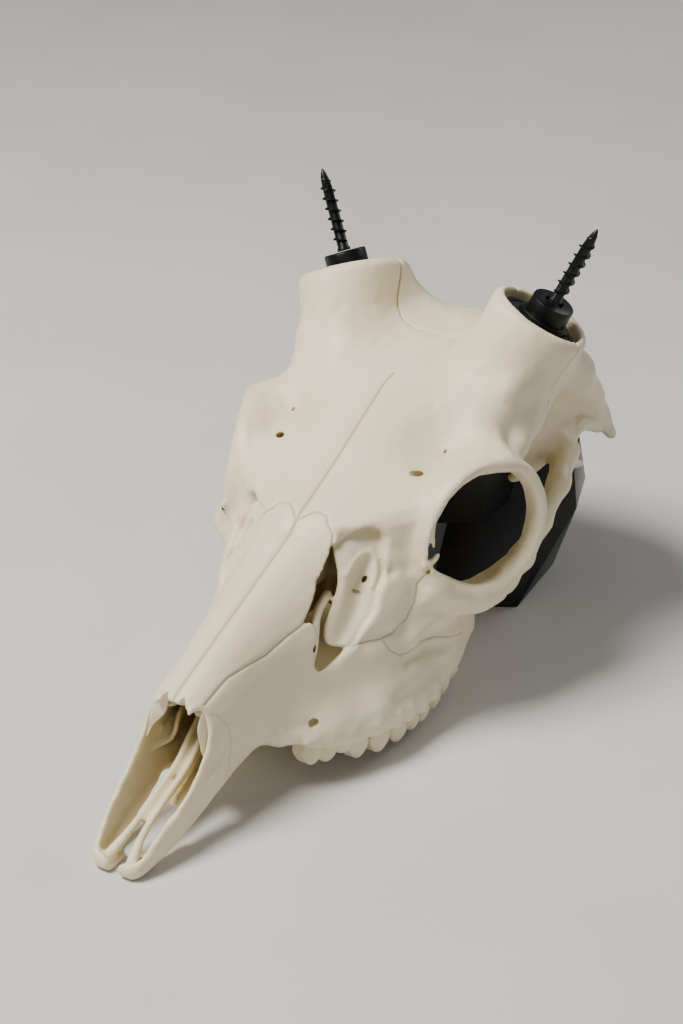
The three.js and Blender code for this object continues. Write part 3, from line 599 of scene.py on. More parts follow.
def slim(piece):
    """Takes triangles out where the surface is plain, down to the limit, and closes pin holes."""
    count = sum(len(face.vertices) - 2 for face in piece.data.polygons)
    apply(piece, "DECIMATE", ratio=min(TRIANGLE_LIMIT / count, 1))
    return edit(
        piece,
        (bpy.ops.mesh.remove_doubles, {"threshold": SHELL_WELD * MM}),
        (bpy.ops.mesh.dissolve_degenerate, {"threshold": SHELL_WELD * MM}),
        (bpy.ops.mesh.fill_holes, {"sides": PIN_HOLE_SIDES}),
        (bpy.ops.mesh.normals_make_consistent, {"inside": False}),
    )


def inside_box(piece):
    """Keeps a shell that was grown to close its gaps within the solids' box."""
    low, high = (np.array(corner) for corner in cad_box)
    move_to(piece, np.clip(places(piece), low, high))
    return piece


# Rays that feel for cover: tilts from the normal, rays to a tilt, where they start and how far they go.
RAY_TILTS = (0.35, 0.8, 1.15)
RAYS_TO_A_TILT = 4
RAY_START = 0.4
RAY_REACH = 90
# Every so many vertices are felt, and the rest take after their neighbours.
FELT_STEP = 4
SPREAD_PASSES = 6


def shelter(piece, *around):
    """Keeps how enclosed each vertex lies, 0 in the open and 1 deep inside: the cavity attribute, for
    painted shade.
    """
    tree = surface_tree(*around)
    spread = []
    for ring, tilt in enumerate(RAY_TILTS):
        for turn in range(RAYS_TO_A_TILT):
            angle = (turn + ring / len(RAY_TILTS)) * 2 * math.pi / RAYS_TO_A_TILT
            sideways = math.sin(tilt)
            spread.append((sideways * math.cos(angle), sideways * math.sin(angle), math.cos(tilt)))
    count = len(piece.data.vertices)
    total = np.zeros(count)
    share = np.zeros(count)
    for vertex in list(piece.data.vertices)[::FELT_STEP]:
        turn = vertex.normal.to_track_quat("Z", "Y").to_matrix()
        start = vertex.co + vertex.normal * RAY_START * MM
        felt = [tree.ray_cast(start, turn @ Vector(ray), RAY_REACH * MM)[0] for ray in spread]
        hits = sum(place is not None for place in felt)
        total[vertex.index] = hits / len(spread)
        share[vertex.index] = 1
    ends = np.empty(len(piece.data.edges) * 2, int)
    piece.data.edges.foreach_get("vertices", ends)
    first, second = ends.reshape(-1, 2).T
    for _ in range(SPREAD_PASSES):
        for amount in (total, share):
            from_second = np.bincount(first, amount[second], count)
            from_first = np.bincount(second, amount[first], count)
            amount[:] = (amount + from_second + from_first) / 4
    cavity = piece.data.attributes.new("cavity", "FLOAT", "POINT")
    cavity.data.foreach_set("value", total / np.maximum(share, 1e-9))


# The edge of the left eye socket, the way it opens, and how the cut widens outward and narrows inward.
ORBIT_OUT = Vector((0.8, -0.45, 0.42)).normalized()
ORBIT_LEVELS = ((16, 1.16), (4, 1.03), (0, 1), (-6, 0.98), (-30, 0.9))
ORBIT_MARGIN = [
    (57.4, 183, 92.6), (53.9, 175.5, 94.6), (49.9, 167.2, 95.8), (47, 160.2, 94), (44.9, 154.2, 90.5),
    (43.6, 149.8, 85.4), (42.6, 145.8, 80.8), (42.7, 143.9, 74.5), (43.2, 143, 69.2), (46, 147.2, 64.7),
    (49.5, 153.2, 60.2), (52.5, 158.2, 56.6), (54.5, 162, 55), (57.2, 168, 54.6), (58.7, 172, 55.8),
    (59.6, 174.6, 58.4), (61.2, 180.6, 65.6), (61.6, 184.6, 74), (61.2, 186.2, 81.2), (60, 186.2, 86.8),
]


def orbit_cutter():
    margin = [at(*place) for place in ORBIT_MARGIN]
    centre = sum(margin, Vector()) / len(margin)
    loops = []
    for shift, scale in ORBIT_LEVELS:
        level = ORBIT_OUT * shift * MM
        loops.append([centre + (place - centre) * scale + level for place in margin])
    return loft(loops)


# The opening in front of the left eye, how far its cut goes out and in, and the sunken plate inside it.
VACUITY_SHIFTS = (7, -7.5)
VACUITY_OUT = Vector((0.716, -0.534, 0.45)).normalized()
VACUITY = [
    (16.9, 122.3, 78.6), (17.8, 124, 79.4), (19.2, 126.9, 80.6), (20.8, 130.1, 81.9),
    (22.7, 133.4, 82.7), (25.1, 136.2, 82.3), (27.2, 137.6, 80.5), (28.6, 137.1, 77.7),
    (29.2, 135.1, 74.4), (29.3, 132.4, 70.9), (29.8, 130.2, 67.7), (30.7, 127, 62.4),
    (31.2, 123.3, 57.3), (31, 119.5, 53), (30.2, 115, 48.8), (28.8, 111, 46.3),
    (29.1, 110, 44.6), (28, 107.3, 43.1), (26.5, 104, 41.7), (24.8, 100.7, 40.6),
    (23, 100, 42.5), (22.3, 100.9, 44.6), (21.5, 103.1, 48.6), (20.3, 105, 52.6),
    (19, 105.4, 55.4), (17.9, 104.8, 56.8), (16.1, 102.4, 56.4), (16.1, 102.8, 56.9),
    (16.5, 106.5, 60.7), (16.6, 110.6, 65.3), (16.1, 112.9, 68.9), (16.7, 116.5, 72.1),
    (17.2, 120.6, 76.2),
]
VACUITY_PLATE = [
    [(11.1, 129.6, 79.2), (13.9, 132.3, 79.2), (16.4, 135.6, 80.2),
     (19.4, 139.5, 80.5), (23.8, 143.5, 80.7), (24.7, 148.1, 78.9)],
    [(14.9, 125.4, 74.8), (17.9, 127.9, 74.9), (19.8, 131.7, 75.5),
     (22.8, 135.6, 75.8), (27.2, 139.6, 76.1), (29.2, 143.4, 74.9)],
    [(16.4, 124.5, 71.7), (20.6, 127.1, 70.8), (21.1, 131.1, 71.3),
     (22.9, 134.4, 72), (27.1, 136.8, 73), (28.5, 141, 71.5)],
    [(18.2, 123.5, 67.5), (20.4, 124, 67.9), (21.1, 129, 67),
     (23, 133.5, 66.7), (27.7, 134.4, 68.6), (29.1, 138.6, 67.1)],
    [(19.4, 121.7, 63.4), (21.8, 122.3, 63.7), (22.4, 126.8, 61.8),
     (24, 130.6, 60.9), (28.8, 130.5, 62.4), (30.2, 134.7, 60.9)],
    [(19.6, 117.4, 58.5), (22.2, 118.7, 58.2), (23.1, 122.8, 56.5),
     (24.8, 126.3, 55.2), (29.6, 127, 56.9), (31, 131.2, 55.4)],
    [(19.5, 112.9, 53.6), (22, 114, 53.1), (23.1, 117.7, 51.3),
     (24.9, 121.1, 50.3), (29.9, 122.9, 51.5), (31.3, 127.1, 50)],
    [(19.9, 109.9, 49.9), (22.3, 111.3, 49.3), (23.2, 114.1, 47.8),
     (24.9, 116.8, 47), (28.8, 118.2, 47.7), (27, 122.6, 45.3)],
    [(21.5, 109.6, 46.9), (23.3, 110, 46.3), (24, 111.6, 45.3),
     (25.6, 112.7, 45), (27.9, 114.3, 45.8), (26.7, 118.3, 43.7)],
]


def vacuity_cutter():
    outline = [at(*place) for place in VACUITY]
    return loft([[place + VACUITY_OUT * shift * MM for place in outline] for shift in VACUITY_SHIFTS])


def sheet(rows, thickness):
    """A thin curved sheet through rows of skull places."""
    columns = len(rows[0])
    points = [at(*place) for row in rows for place in row]
    faces = []
    for row in range(len(rows) - 1):
        for column in range(columns - 1):
            a = row * columns + column
            faces.append((a, a + 1, a + columns + 1, a + columns))
    piece = new_piece("sheet", points, faces)
    apply(piece, "SUBSURF", levels=2)
    apply(piece, "SOLIDIFY", thickness=thickness * MM, offset=0)
    return closed(piece)


# Cheek teeth: how far back each lobe sits, its half length, and the height of its lower edge.
TOOTH_LOBES = [
    (91.2, 3.8, 8.6), (96.2, 3.7, 8), (101.6, 3.4, 9.8), (107.4, 4.4, 5.4), (116.8, 5.2, 3.8),
    (127.2, 5.2, 2.8), (135.2, 3.6, 3.6), (142.4, 4.3, 3.2), (150.8, 4.4, 4.4), (159, 4.3, 6),
    (167, 4, 7.8),
]
# The row's distance from the midline, and the gum's height, at distances back from the nose.
TOOTH_ROW = ([86, 95, 105, 118, 135, 150, 168], [23, 28, 34, 38.5, 40.5, 40.8, 38.5])
GUM = ([85, 88.7, 92.6, 99.7, 108.6, 119.6, 127.6, 136, 150.5, 162, 171],
       [19.7, 17.4, 15.7, 14.2, 13.9, 12.4, 11.1, 10.8, 12.8, 14.2, 14.1])
# Rings of a lobe: mm over the gum or the share of the way down from it, then its length and width.
CROWN_RINGS = [
    (4, 0.4, 0.3), (1, 0.72, 0.7), (-0.1, 0.88, 0.86), (-0.3, 0.94, 0.95), (-0.55, 0.78, 0.84),
    (-0.78, 0.52, 0.62), (-0.93, 0.3, 0.4), (-1, 0.1, 0.16),
]
RING_POINTS = 24
# Half the width of a lobe, its shift from the row's line, and the corners and squareness of its rings.
LOBE_HALF_WIDTH = 3.4
LOBE_SHIFT = 1.3
LOBE_CORNERS = 0.35
LOBE_SQUARENESS = 0.8
# The tips lean to the nose by this share of the half length, from this share of the way down.
TIP_LEAN = 0.22
LEAN_FROM = 0.35
# The ridge of the jaw: how far out from the row, how far over the gum, and its radius.
GUM_OUT = 3.3
GUM_UP = 2
GUM_RADIUS = 2.5


def tooth_lobe(back, half, low, side):
    """One crescent of a cheek tooth, standing out on the cheek side or the tongue side of the row."""
    row = np.interp(back, *TOOTH_ROW)
    gum = np.interp(back, *GUM)
    slope = (np.interp(back + 3, *TOOTH_ROW) - np.interp(back - 3, *TOOTH_ROW)) / 6
    loops = []
    for level, long_scale, wide_scale in CROWN_RINGS:
        height = gum + (level if level > 0 else level * (gum - low))
        lean = TIP_LEAN * half * max(-level - LEAN_FROM, 0)
        loop = []
        for step in range(RING_POINTS):
            angle = step * 2 * math.pi / RING_POINTS
            end = math.copysign(abs(math.cos(angle)) ** LOBE_SQUARENESS, math.cos(angle))
            along = half * long_scale * end
            across = LOBE_HALF_WIDTH * wide_scale * math.sin(angle)
            across += LOBE_CORNERS * wide_scale * side * math.cos(4 * angle)
            out = row + side * LOBE_SHIFT + slope * along + across
            loop.append(at(out, back + along - lean, height))
        loops.append(loop)
    return loft(loops)


def gum_ridge():
    """The edge of the jaw along the cheek side of the teeth."""
    stations = []
    for back in (87, 94, 102, 112, 124, 136, 150, 162, 169):
        out = np.interp(back, *TOOTH_ROW) + GUM_OUT
        stations.append((out, back, np.interp(back, *GUM) + GUM_UP, GUM_RADIUS))
    return rod(*stations)


def gum_cutter():
    """Clears what hangs below the gum, for the teeth."""
    front, end, under = 82, 176, -3
    inner, outer = 14, 62
    upper = [(back, np.interp(back, *GUM)) for back in (front, *GUM[0], end)]
    return side_block([(front, under), *upper, (end, under)], inner, outer)


# Thin bone inside the nose, which differs on the two sides.
NOSE_LEAF_RIGHT = [
    [(-8.5, 50.5, 47.5), (-6, 50.5, 48.4), (-3.2, 50.2, 49)],
    [(-9.6, 49.5, 43), (-7, 50, 43.6), (-4, 50.5, 44.4)],
    [(-10.4, 48.9, 40.2), (-8, 49.4, 40.4), (-5, 50.2, 40.9)],
    [(-10.9, 48.8, 36.8), (-10, 49.1, 37), (-9, 49.4, 36.9)],
    [(-11.3, 48.6, 34), (-10.8, 48.7, 34.1), (-10.4, 48.8, 34.1)],
    [(-11.8, 48.1, 31), (-11.6, 48.1, 31), (-11.5, 48.2, 31)],
]
NOSE_BLADE_LEFT = [
    [(9.4, 53.1, 46.8), (9.6, 53.6, 46.4), (9.8, 54.4, 45.4)],
    [(9.2, 51.5, 45.2), (10.2, 52.1, 45.2), (10.2, 54.6, 43)],
    [(9.2, 49.9, 43.3), (10.2, 51.4, 42.4), (10.8, 54.5, 40)],
    [(8.9, 48.8, 39.8), (10.8, 49.8, 39.9), (11.4, 53.5, 36.4)],
    [(9.6, 49, 36.1), (10.5, 50.3, 35), (11.6, 52.5, 32.9)],
    [(10, 49.2, 33.4), (11.2, 49.5, 32.5), (11.8, 51.5, 30.7)],
    [(10.4, 49, 30.8), (11.2, 49.6, 28.8), (11.8, 50.8, 28.3)],
]
NOSE_SHEET = 0.8

# Forms of the left half that its solids leave out. Rods list places and a radius.
PLATE_THICKNESS = 2
VACUITY_BAR = (
    (16.4, 120, 60.5, 1.8), (17.4, 114.6, 60.4, 1.7), (18.1, 108.9, 57, 1.8), (19.6, 105.9, 51.8, 1.8),
    (20.9, 103.2, 46.6, 1.6), (21.5, 100.2, 43, 1.4),
)
# The wall along the midline inside the nose, and two bodies that fill the inside behind it.
SEPTUM = [(66, 41), (150, 41), (150, 80), (128, 76), (100, 66), (66, 52)]
SEPTUM_HALF = 0.9
INNER_BODIES = (((9.5, 143, 60), (11, 11, 20)), ((6, 128, 66), (4, 14, 9)))
NASAL_RIM = ((0.4, 49.4, 48.7, 1.2), (4.6, 49.8, 48.5, 1.1), (8.4, 51, 47.4, 1.1))
NASAL_PRONG = ((7.4, 53, 48, 1.3), (7.1, 50, 47.9, 1.3), (6.9, 48.4, 47.3, 1.1), (6.8, 47.2, 46.3, 0.6))
# The shelf on the floor of the nose, the rod at its edge, and the rod over it.
SHELF_THICKNESS = 1.6
SHELF = [
    [(15.4, 46.8, 21.8), (12.6, 51, 23.1), (9.2, 56.6, 23.4), (7.2, 57.8, 27), (6.2, 57.9, 33)],
    [(15.2, 52, 26), (13, 56, 27), (10.4, 61, 27), (8.6, 63, 30), (7.6, 62, 36)],
    [(15, 60, 30), (14, 66, 31), (12, 72, 31), (10, 74, 33), (8.4, 72, 39)],
]
SHELF_EDGE = ((13.5, 58, 30, 2.2), (15.5, 47, 22.5, 1.2))
NOSE_ROOF = ((6, 54, 44.5, 2.4), (8, 60, 40, 3), (9, 74, 42, 3.4))
# Bars that run back from the nose tips along the midline.
PALATE_BAR = (
    (4.8, 15, 3.8, 2.2), (3.4, 20, 7, 1.7), (2.5, 26, 10, 1.4), (2.3, 31, 12, 1.3), (2.2, 38, 15.2, 1.2),
    (2.2, 52, 20.6, 1.2), (2.2, 58.5, 26.4, 1.2), (2.2, 67, 33.5, 1.3), (1.8, 76, 41, 1.6),
)
MIDLINE_BAR = (
    (0.6, 30, 10.2, 1.5), (0.5, 38, 13, 1.7), (0.5, 52, 17.8, 2), (0.5, 60, 23, 2.4), (0.5, 76, 34, 3),
)
# Hooks at the front edge of the eye socket.
UPPER_HOOK = (
    (42.4, 147.6, 84, 1.5), (43, 146.4, 79.6, 1.2), (43.7, 146.4, 76, 0.8), (43.9, 146.4, 74.4, 0.5),
)
LOWER_HOOK = (
    (42, 141.6, 68.8, 1.8), (43.6, 144.2, 69.2, 1.4), (45, 147, 70.6, 1.1), (45.3, 147.5, 72.2, 0.9),
)

# Soft relief of the left half: a line, its reach, and its depth, which is below zero for a ridge.
FACE_RELIEF = [
    # the ridge and the valley on the plate before the eye
    ([(20.4, 124.2, 66.4), (21, 128.3, 70.4), (22.8, 132.7, 72.8), (24.7, 135.4, 72.9),
      (26.5, 135.5, 70.3), (27.9, 133.4, 65.5), (28.2, 130.6, 61.7)], 1.1, -0.9),
    ([(24.7, 132.5, 69.5), (24.8, 128.8, 65), (24.6, 125.4, 61.3)], 2.2, 0.9),
    # dips at the front of the eye socket
    ([(33.5, 135, 67)], 2.2, 1.6),
    ([(38.5, 138.5, 68)], 3, 0.8),
    # the hollow, the ridge and the valleys of the cheek
    ([(41.8, 140.8, 60.2), (39.2, 133.1, 45.9), (33, 119, 46)], 3.2, 1.4),
    ([(58.6, 170, 47.6), (52, 158, 48.5), (46.7, 154.4, 44.2), (43, 146, 45), (42, 138, 42)], 3.4, -1.6),
    ([(47.2, 164, 38), (46, 152, 38), (43.5, 143, 39.5)], 3.2, 1.5),
    ([(47.2, 166, 29), (46.4, 154, 31), (43.7, 142.5, 34.5), (41, 134, 33)], 2.6, 1.2),
    ([(46, 171.5, 24), (47.7, 157.8, 25.7), (46.7, 145.1, 24.3), (45.3, 133.2, 21.8),
      (43.5, 124.9, 22.3)], 3, 1.2),
    # the dip before the teeth
    ([(24, 84, 26.5), (27.5, 90, 25.6)], 2.4, 1),
    # the ridge from the pedicle to the eye socket, and the dip at the hole over the eye
    ([(44.6, 199.6, 115), (44.4, 197, 108.1), (46.8, 197.2, 101), (50, 196.5, 96.5)], 6.5, -3),
    ([(30, 161, 95), (33, 163, 95.4)], 4, 0.7),
    # the valley along the midline
    ([(0, 50, 56), (0, 80, 70), (0, 120, 88)], 2.4, 0.8),
    ([(0, 132, 94), (0, 160, 106), (0, 182, 116)], 3.2, 0.5),
]
# Boxes in which the facets of the solids are smoothed away: two corners and the passes.
SOFT_BOXES = (
    ((36, 116, 14.5), (60, 172, 27), 30),
    ((24, 96, 16.5), (50, 120, 24), 20),
    ((40, 184, 86), (58, 208, 112), 40),
)
# The notch in the nasal tip, seen from above, and its lower and upper height.
NASAL_NOTCH = [(1.9, 44), (2.3, 48.6), (3.2, 50.2), (4.2, 49.6), (5.2, 48), (5.6, 44)]
NASAL_NOTCH_HEIGHTS = (43.6, 62)
# Small holes: middle, radii, and the two directions that turn them where they lie askew.
SMALL_HOLES = [
    ((29.6, 159.8, 93.6), (1.7, 1.7, 7), axes((0, 0.9, 0.45), (-0.4, -0.65, 0.6))),
    ((32.6, 173.4, 98.4), (0.7, 0.9, 2.4)),
    ((28, 92, 25.2), (2, 3.6, 1.7), axes((-0.55, 0.8, 0), (0, -0.1, 1))),
    ((44.4, 143.4, 66.6), (0.8, 2.4, 0.8), axes((0.6, 0.75, 0), (0, 0, 1))),
    ((24.6, 131, 63.4), (0.9, 1.4, 3), axes((0, 0.8, 0.6), VACUITY_OUT)),
    ((24.2, 126.6, 60.4), (0.8, 2, 1.8), axes((0.8, 0.6, -0.5), VACUITY_OUT)),
    ((21.1, 102.3, 48.4), (0.8, 1.9, 3.4), axes((0, 0.6, 0.8), VACUITY_OUT)),
]
# Carved sutures of the left half: a line, its width and its depth.
SUTURES = [
    # premaxilla to maxilla
    ([(11.8, 53.9, 44.7), (13.2, 56.4, 42.2), (14.5, 59.2, 38.7), (15.3, 59.5, 31.1), (15.6, 58.3, 26.1),
      (15.5, 57.7, 20.3), (15, 53, 13), (14, 47, 8)], 0.45, 0.25),
    # nasal to maxilla
    ([(9.5, 53.2, 48), (10, 61, 50.7), (10.3, 65.9, 52.1), (12.2, 74.7, 52.9), (14.3, 83.3, 53.5),
      (16.2, 93.5, 56.2), (17.3, 97, 57.1), (17.9, 99.2, 57.7), (18.3, 101.3, 58.4),
      (18.4, 102.3, 58.7)], 0.6, 0.5),
    # nasal to frontal
    ([(0, 125.2, 83), (1.9, 126.4, 83.7), (3.1, 127.8, 84.6), (5.9, 130, 85.6), (9.7, 129.9, 85.1),
      (11.7, 127.4, 83.2), (14.6, 126.1, 81), (16.6, 123, 78.8)], 0.45, 0.5),
    # the midline of the frontals and of the nasals
    ([(0, 125, 90), (0, 160, 106), (0, 178, 115), (0, 192, 121)], 0.5, 0.6),
    ([(0, 47, 56), (0, 80, 70), (0, 125, 90)], 0.5, 0.55),
    # zygomatic to lacrimal, and zygomatic to maxilla
    ([(44.6, 142.7, 67.5), (42.7, 141.9, 64.5), (41, 140.7, 61.3), (40.9, 139.1, 54.6), (39.8, 135.5, 49),
      (38.1, 130.7, 45.9), (35.6, 125.2, 45.1), (32.1, 118.7, 45.7), (30.6, 115.4, 45.7)], 0.45, 0.4),
    ([(36.3, 126.1, 44), (37.7, 127.4, 40), (39.6, 130.5, 37), (41.2, 134.7, 36.5), (42.8, 139.7, 38.2),
      (45.1, 147.3, 37.6), (47, 156.5, 33.4), (47.5, 163.9, 31.4)], 0.45, 0.4),
]
# The hollow under the nasals, seen from above, and its lower and upper height.
NASAL_HOLLOW = [(-6, 40), (-6, 56), (7.6, 56), (9.4, 51), (9.4, 40)]
NASAL_HOLLOW_HEIGHTS = (38, 47)
SIDE_BONES = ("frontal", "nasal", "maxilla", "zygomatic", "premaxilla")

left = cast_copy("skull_left", [bone + "_left" for bone in SIDE_BONES], True)
join(left, gum_ridge())
skin(left, FIRST_VOXEL, 2)
nasal_hollow = plan_block(NASAL_HOLLOW, *NASAL_HOLLOW_HEIGHTS)
cut(left, merged(orbit_cutter(), vacuity_cutter(), gum_cutter(), nasal_hollow))
join(
    left,
    sheet(VACUITY_PLATE, PLATE_THICKNESS),
    rod(*VACUITY_BAR),
    side_block(SEPTUM, -MIDLINE_REACH, SEPTUM_HALF),
    *(blob(*body) for body in INNER_BODIES),
    rod(*NASAL_RIM),
    rod(*NASAL_PRONG),
    rod(*SHELF_EDGE),
    sheet(SHELF, SHELF_THICKNESS),
    rod(*NOSE_ROOF),
    rod(*PALATE_BAR),
    rod(*MIDLINE_BAR),
    rod(*UPPER_HOOK),
    rod(*LOWER_HOOK),
)
skin(left, FRONT_VOXEL, 4)
press(left, FACE_RELIEF)
for low, high, passes in SOFT_BOXES:
    soften(left, low, high, passes)
bisect(left, (0, 0, 0), (1, 0, 0))
nasal_notch = plan_block(NASAL_NOTCH, *NASAL_NOTCH_HEIGHTS)
cut(left, merged(nasal_notch, *(blob(*hole) for hole in SMALL_HOLES)))
lobes = [tooth_lobe(*lobe, side) for lobe in TOOTH_LOBES for side in (1, -1)]
cut(left, merged(*lobes), "UNION")
carve(left, SUTURES)
smooth_shade(inside_box(slim(left)), SHELL_CREASE)

# Rods round the notch behind each eye socket, and the soft relief of the left of the rear shell.
NOTCH_RODS = (
    ((45, 247, 69, 2.8), (45, 249, 74.6, 2.8), (45, 256, 77.2, 2.8), (45, 262.7, 75, 2.8),
     (45, 268, 72, 2.6), (45.4, 274, 68.6, 2.4)),
    ((45.6, 246.6, 69, 3), (46, 249, 64.4, 2.6), (46.5, 253.6, 61.8, 2), (47, 258, 60.2, 0.8)),
)
REAR_MIDLINE_RIDGE = ([(0, 238, 125), (0, 262, 112), (0, 276, 96)], 3, -0.9)
REAR_RELIEF = [
    ([(4, 276, 96), (20, 274, 92), (34, 270, 84), (43, 272, 76)], 2.6, -1),
    ([(8, 284, 84), (22, 282, 80)], 6, 0.9),
    ([(22, 254, 112), (34, 250, 100)], 7, -0.8),
]

rear = cast_copy("skull_rear", ["braincase"], False)
for side in (1, -1):
    rods = [[(side * x, y, z, radius) for x, y, z, radius in stations] for stations in NOTCH_RODS]
    join(rear, *(rod(*stations) for stations in rods))
skin(rear, FIRST_VOXEL, 2)
skin(rear, REAR_VOXEL, 5)
mirrored_relief = []
for line, reach, depth in REAR_RELIEF:
    mirrored_relief.append(([(-x, y, z) for x, y, z in line], reach, depth))
press(rear, [REAR_MIDLINE_RIDGE, *REAR_RELIEF, *mirrored_relief])
smooth_shade(inside_box(slim(rear)), SHELL_CREASE)
right = mirrored(left, "skull_right")
shelter(left, left, right, rear)
shelter(rear, left, right, rear)
mark_seam(left, rear)
mark_seam(rear, left, right)
# The right half is made again, so that it has the left one's shelter and seam.
bpy.data.objects.remove(right)
right = mirrored(left, "skull_right")
join(left, smooth_shade(sheet(NOSE_BLADE_LEFT, NOSE_SHEET)))
join(right, smooth_shade(sheet(NOSE_LEAF_RIGHT, NOSE_SHEET)))
done(left, "bone_white", IVORY, *[bone + "_left" for bone in SIDE_BONES])
done(right, "bone_white", IVORY, *[bone + "_right" for bone in SIDE_BONES])
done(rear, "bone_white", IVORY, "braincase")

# Antler mounts

# The rim of the left pedicle, the disc in it, and the screw, which stands a little askew to the rim.
RIM_CENTRE = at(42.2, 227.6, 134)
RIM_NORMAL = Vector((0.414, 0.304, 0.858)).normalized()
DISC_DROP = 3.3
DISC_TOP = RIM_CENTRE - RIM_NORMAL * DISC_DROP * MM
SCREW_ROOT = at(45.4, 229.6, 139)
SCREW_AXIS = Vector((0.41, 0.16, 0.898)).normalized()
# Profiles of the turned bodies: radius and height.
DISC = [
    (0, -1.8), (15, -1.8), (15.4, -1.4), (15.4, -0.4), (15, 0), (13.4, 0), (13.1, -0.5), (12.4, -0.5),
    (12.1, 0), (0, 0),
]
STEM = [
    (0, -16), (8.2, -16), (8.2, -0.7), (8, -0.25), (7.5, 0), (3.9, 0), (3.5, -0.3), (3.4, -1.4),
    (0, -1.4),
]
FLANGE = [(0, 0.3), (9.9, 0.3), (10.2, 0.6), (10.2, 1.9), (9.9, 2.3), (9, 2.5), (0, 2.5)]
CORE = [
    (0, 0.3), (2.6, 0.3), (2.6, 1.2), (2.1, 1.8), (1.95, 25), (1.7, 28), (1.1, 30.6), (0.35, 32.4),
    (0, 32.7),
]
COLLAR_GAP = 0.3
SCREW_SIDES = 40
# The thread: its section, rise of a turn, turns, and how far it stands out at some heights.
THREAD = [(1.5, 2.2), (3.05, 2.85), (3.05, 3.05), (1.5, 3.7)]
THREAD_RISE = 4
THREAD_TURNS = 7
THREAD_TAPER = ([2, 5, 24, 31.5], [0.55, 1, 1, 0.3])
# Points of the section nearer the axis than this are its root, which tapers less.
THREAD_ROOT = 2
ROOT_EASE = 0.2


def socket_disc():
    return smooth_shade(stood(turned(DISC), DISC_TOP, RIM_NORMAL), MOUNT_CREASE)


def antler_collar():
    """A stem along the screw, cut off over the disc, with a flange on the disc."""
    stem = stood(turned(STEM), SCREW_ROOT, SCREW_AXIS)
    bisect(stem, DISC_TOP + RIM_NORMAL * COLLAR_GAP * MM, RIM_NORMAL)
    along = (SCREW_ROOT - DISC_TOP).dot(RIM_NORMAL) / SCREW_AXIS.dot(RIM_NORMAL)
    flange = stood(turned(FLANGE), SCREW_ROOT - SCREW_AXIS * along, RIM_NORMAL)
    return smooth_shade(cut(stem, flange, "UNION"), MOUNT_CREASE)


def antler_screw():
    """A core with a spiral thread that runs out at both ends."""
    core = turned(CORE, SCREW_SIDES)
    points = [Vector((radius, 0, height)) * MM for radius, height in THREAD]
    thread = new_piece("thread", points, edges=[(0, 1), (1, 2), (2, 3), (3, 0)])
    apply(
        thread, "SCREW", axis="Z", angle=2 * math.pi, screw_offset=THREAD_RISE * MM,
        iterations=THREAD_TURNS, steps=SCREW_SIDES, render_steps=SCREW_SIDES, use_merge_vertices=False,
    )
    points = places(thread)
    radius = np.hypot(points[:, 0], points[:, 1])
    taper = np.interp(points[:, 2] / MM, *THREAD_TAPER)
    root_taper = np.minimum(taper + ROOT_EASE, 1)
    tapered = np.where(radius > THREAD_ROOT * MM, radius * taper, radius * root_taper)
    points[:, :2] *= (tapered / radius)[:, None]
    move_to(thread, points)
    edit(
        thread,
        (bpy.ops.mesh.remove_doubles, {"threshold": WELD * MM}),
        (bpy.ops.mesh.fill_holes, {"sides": len(THREAD)}),
        (bpy.ops.mesh.normals_make_consistent, {"inside": False}),
    )
    return smooth_shade(stood(join(core, thread), SCREW_ROOT, SCREW_AXIS), SCREW_CREASE)


for make, label, slot, material in (
    (socket_disc, "socket_disc", "disc_grey", DISC_GREY),
    (antler_collar, "antler_collar", "hardware_black", COLLAR_BLACK),
    (antler_screw, "antler_screw", "screw_black", SCREW_BLACK),
):
    piece = make()
    piece.name = label + "_shown_left"
    twin = mirrored(piece, label + "_shown_right")
    done(piece, slot, material, label + "_left")
    done(twin, slot, material, label + "_right")

# Base

BASE_BEVEL = 0.9
base = bpy.data.objects.new("faceted_base", nodes["base_block"].data.copy())
bpy.context.scene.collection.objects.link(base)
edit(
    base,
    (bpy.ops.mesh.remove_doubles, {"threshold": COPY_WELD * MM}),
    (bpy.ops.mesh.dissolve_limited, {"angle_limit": math.radians(1)}),
)
apply(
    base, "BEVEL", width=BASE_BEVEL * MM, segments=3, limit_method="ANGLE", angle_limit=math.radians(10)
)
smooth_shade(base, BASE_CREASE)
done(base, "base_black", BASE_BLACK, "base_block")

# Studio


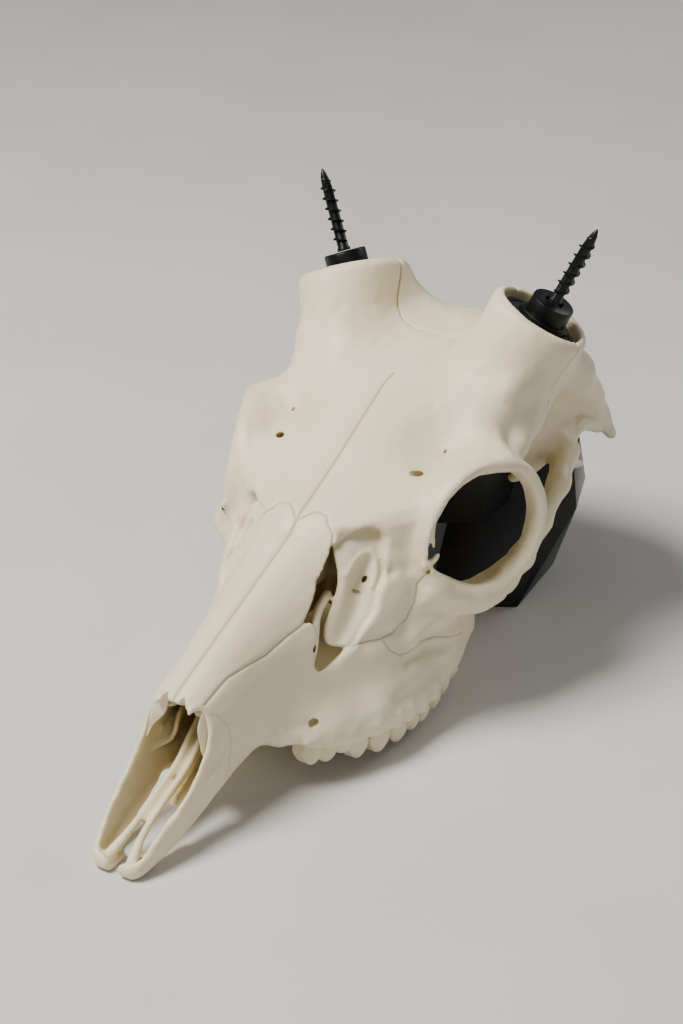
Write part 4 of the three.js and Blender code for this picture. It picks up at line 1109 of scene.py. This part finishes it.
def studio_light(label, place, target, size, power, tint):
    bpy.ops.object.light_add(type="AREA", location=place)
    light = bpy.context.object
    light.name = label
    light.data.shape = "DISK"
    light.data.size = size
    light.data.energy = power
    light.data.color = tint
    aim = Vector(target) - Vector(place)
    light.rotation_euler = aim.to_track_quat("-Z", "Y").to_euler()


# Places of the studio are in metres.
SKULL_MIDDLE = (0, -0.1, 0.07)
AIR_TINT = (0.75, 0.77, 0.8, 1)
AIR_STRENGTH = 0.16
FLOOR_SIZE = 6
FLOOR_TONES = ((0.62, 0.61, 0.59), (0.66, 0.65, 0.63))
# The camera that was fitted to the photo.
CAMERA_PLACE = (0.4092, -0.7543, 0.4906)
CAMERA_TARGET = (0.0059, -0.1104, 0.0784)
CAMERA_LENS = 84.375
SENSOR_WIDTH = 36
studio_light("key_light", (-0.45, -0.6, 1.2), SKULL_MIDDLE, 0.6, 30, (1, 0.965, 0.9))
studio_light("fill_light", (1.1, -1.0, 0.6), SKULL_MIDDLE, 1.2, 2.2, (0.97, 0.98, 1))
studio_light("rim_light", (0.5, 1.1, 0.9), SKULL_MIDDLE, 0.7, 5, (1, 0.98, 0.96))
world = bpy.data.worlds.new("studio_air")
world.use_nodes = True
world.node_tree.nodes["Background"].inputs["Color"].default_value = AIR_TINT
world.node_tree.nodes["Background"].inputs["Strength"].default_value = AIR_STRENGTH
bpy.context.scene.world = world

bpy.ops.mesh.primitive_plane_add(size=FLOOR_SIZE, location=(0, 0, 0))
floor = bpy.context.object
floor.name = "studio_floor"
floor_finish, floor_shader, floor_place = finish("pale_floor", Roughness=0.7)
tones = [colour(floor_place, *tone) for tone in FLOOR_TONES]
clouds = noise(floor_place, 9, 4).between(0.3, 0.7)
floor_place.feed(floor_shader.inputs["Base Color"], tones[0].mix(tones[1], clouds))
floor.data.materials.append(floor_finish)

bpy.ops.object.camera_add(location=CAMERA_PLACE)
camera = bpy.context.object
camera.data.lens = CAMERA_LENS
camera.data.sensor_width = SENSOR_WIDTH
camera.data.clip_start = 0.01
aim = Vector(CAMERA_TARGET) - camera.location
camera.rotation_euler = aim.to_track_quat("-Z", "Y").to_euler()
bpy.context.scene.camera = camera
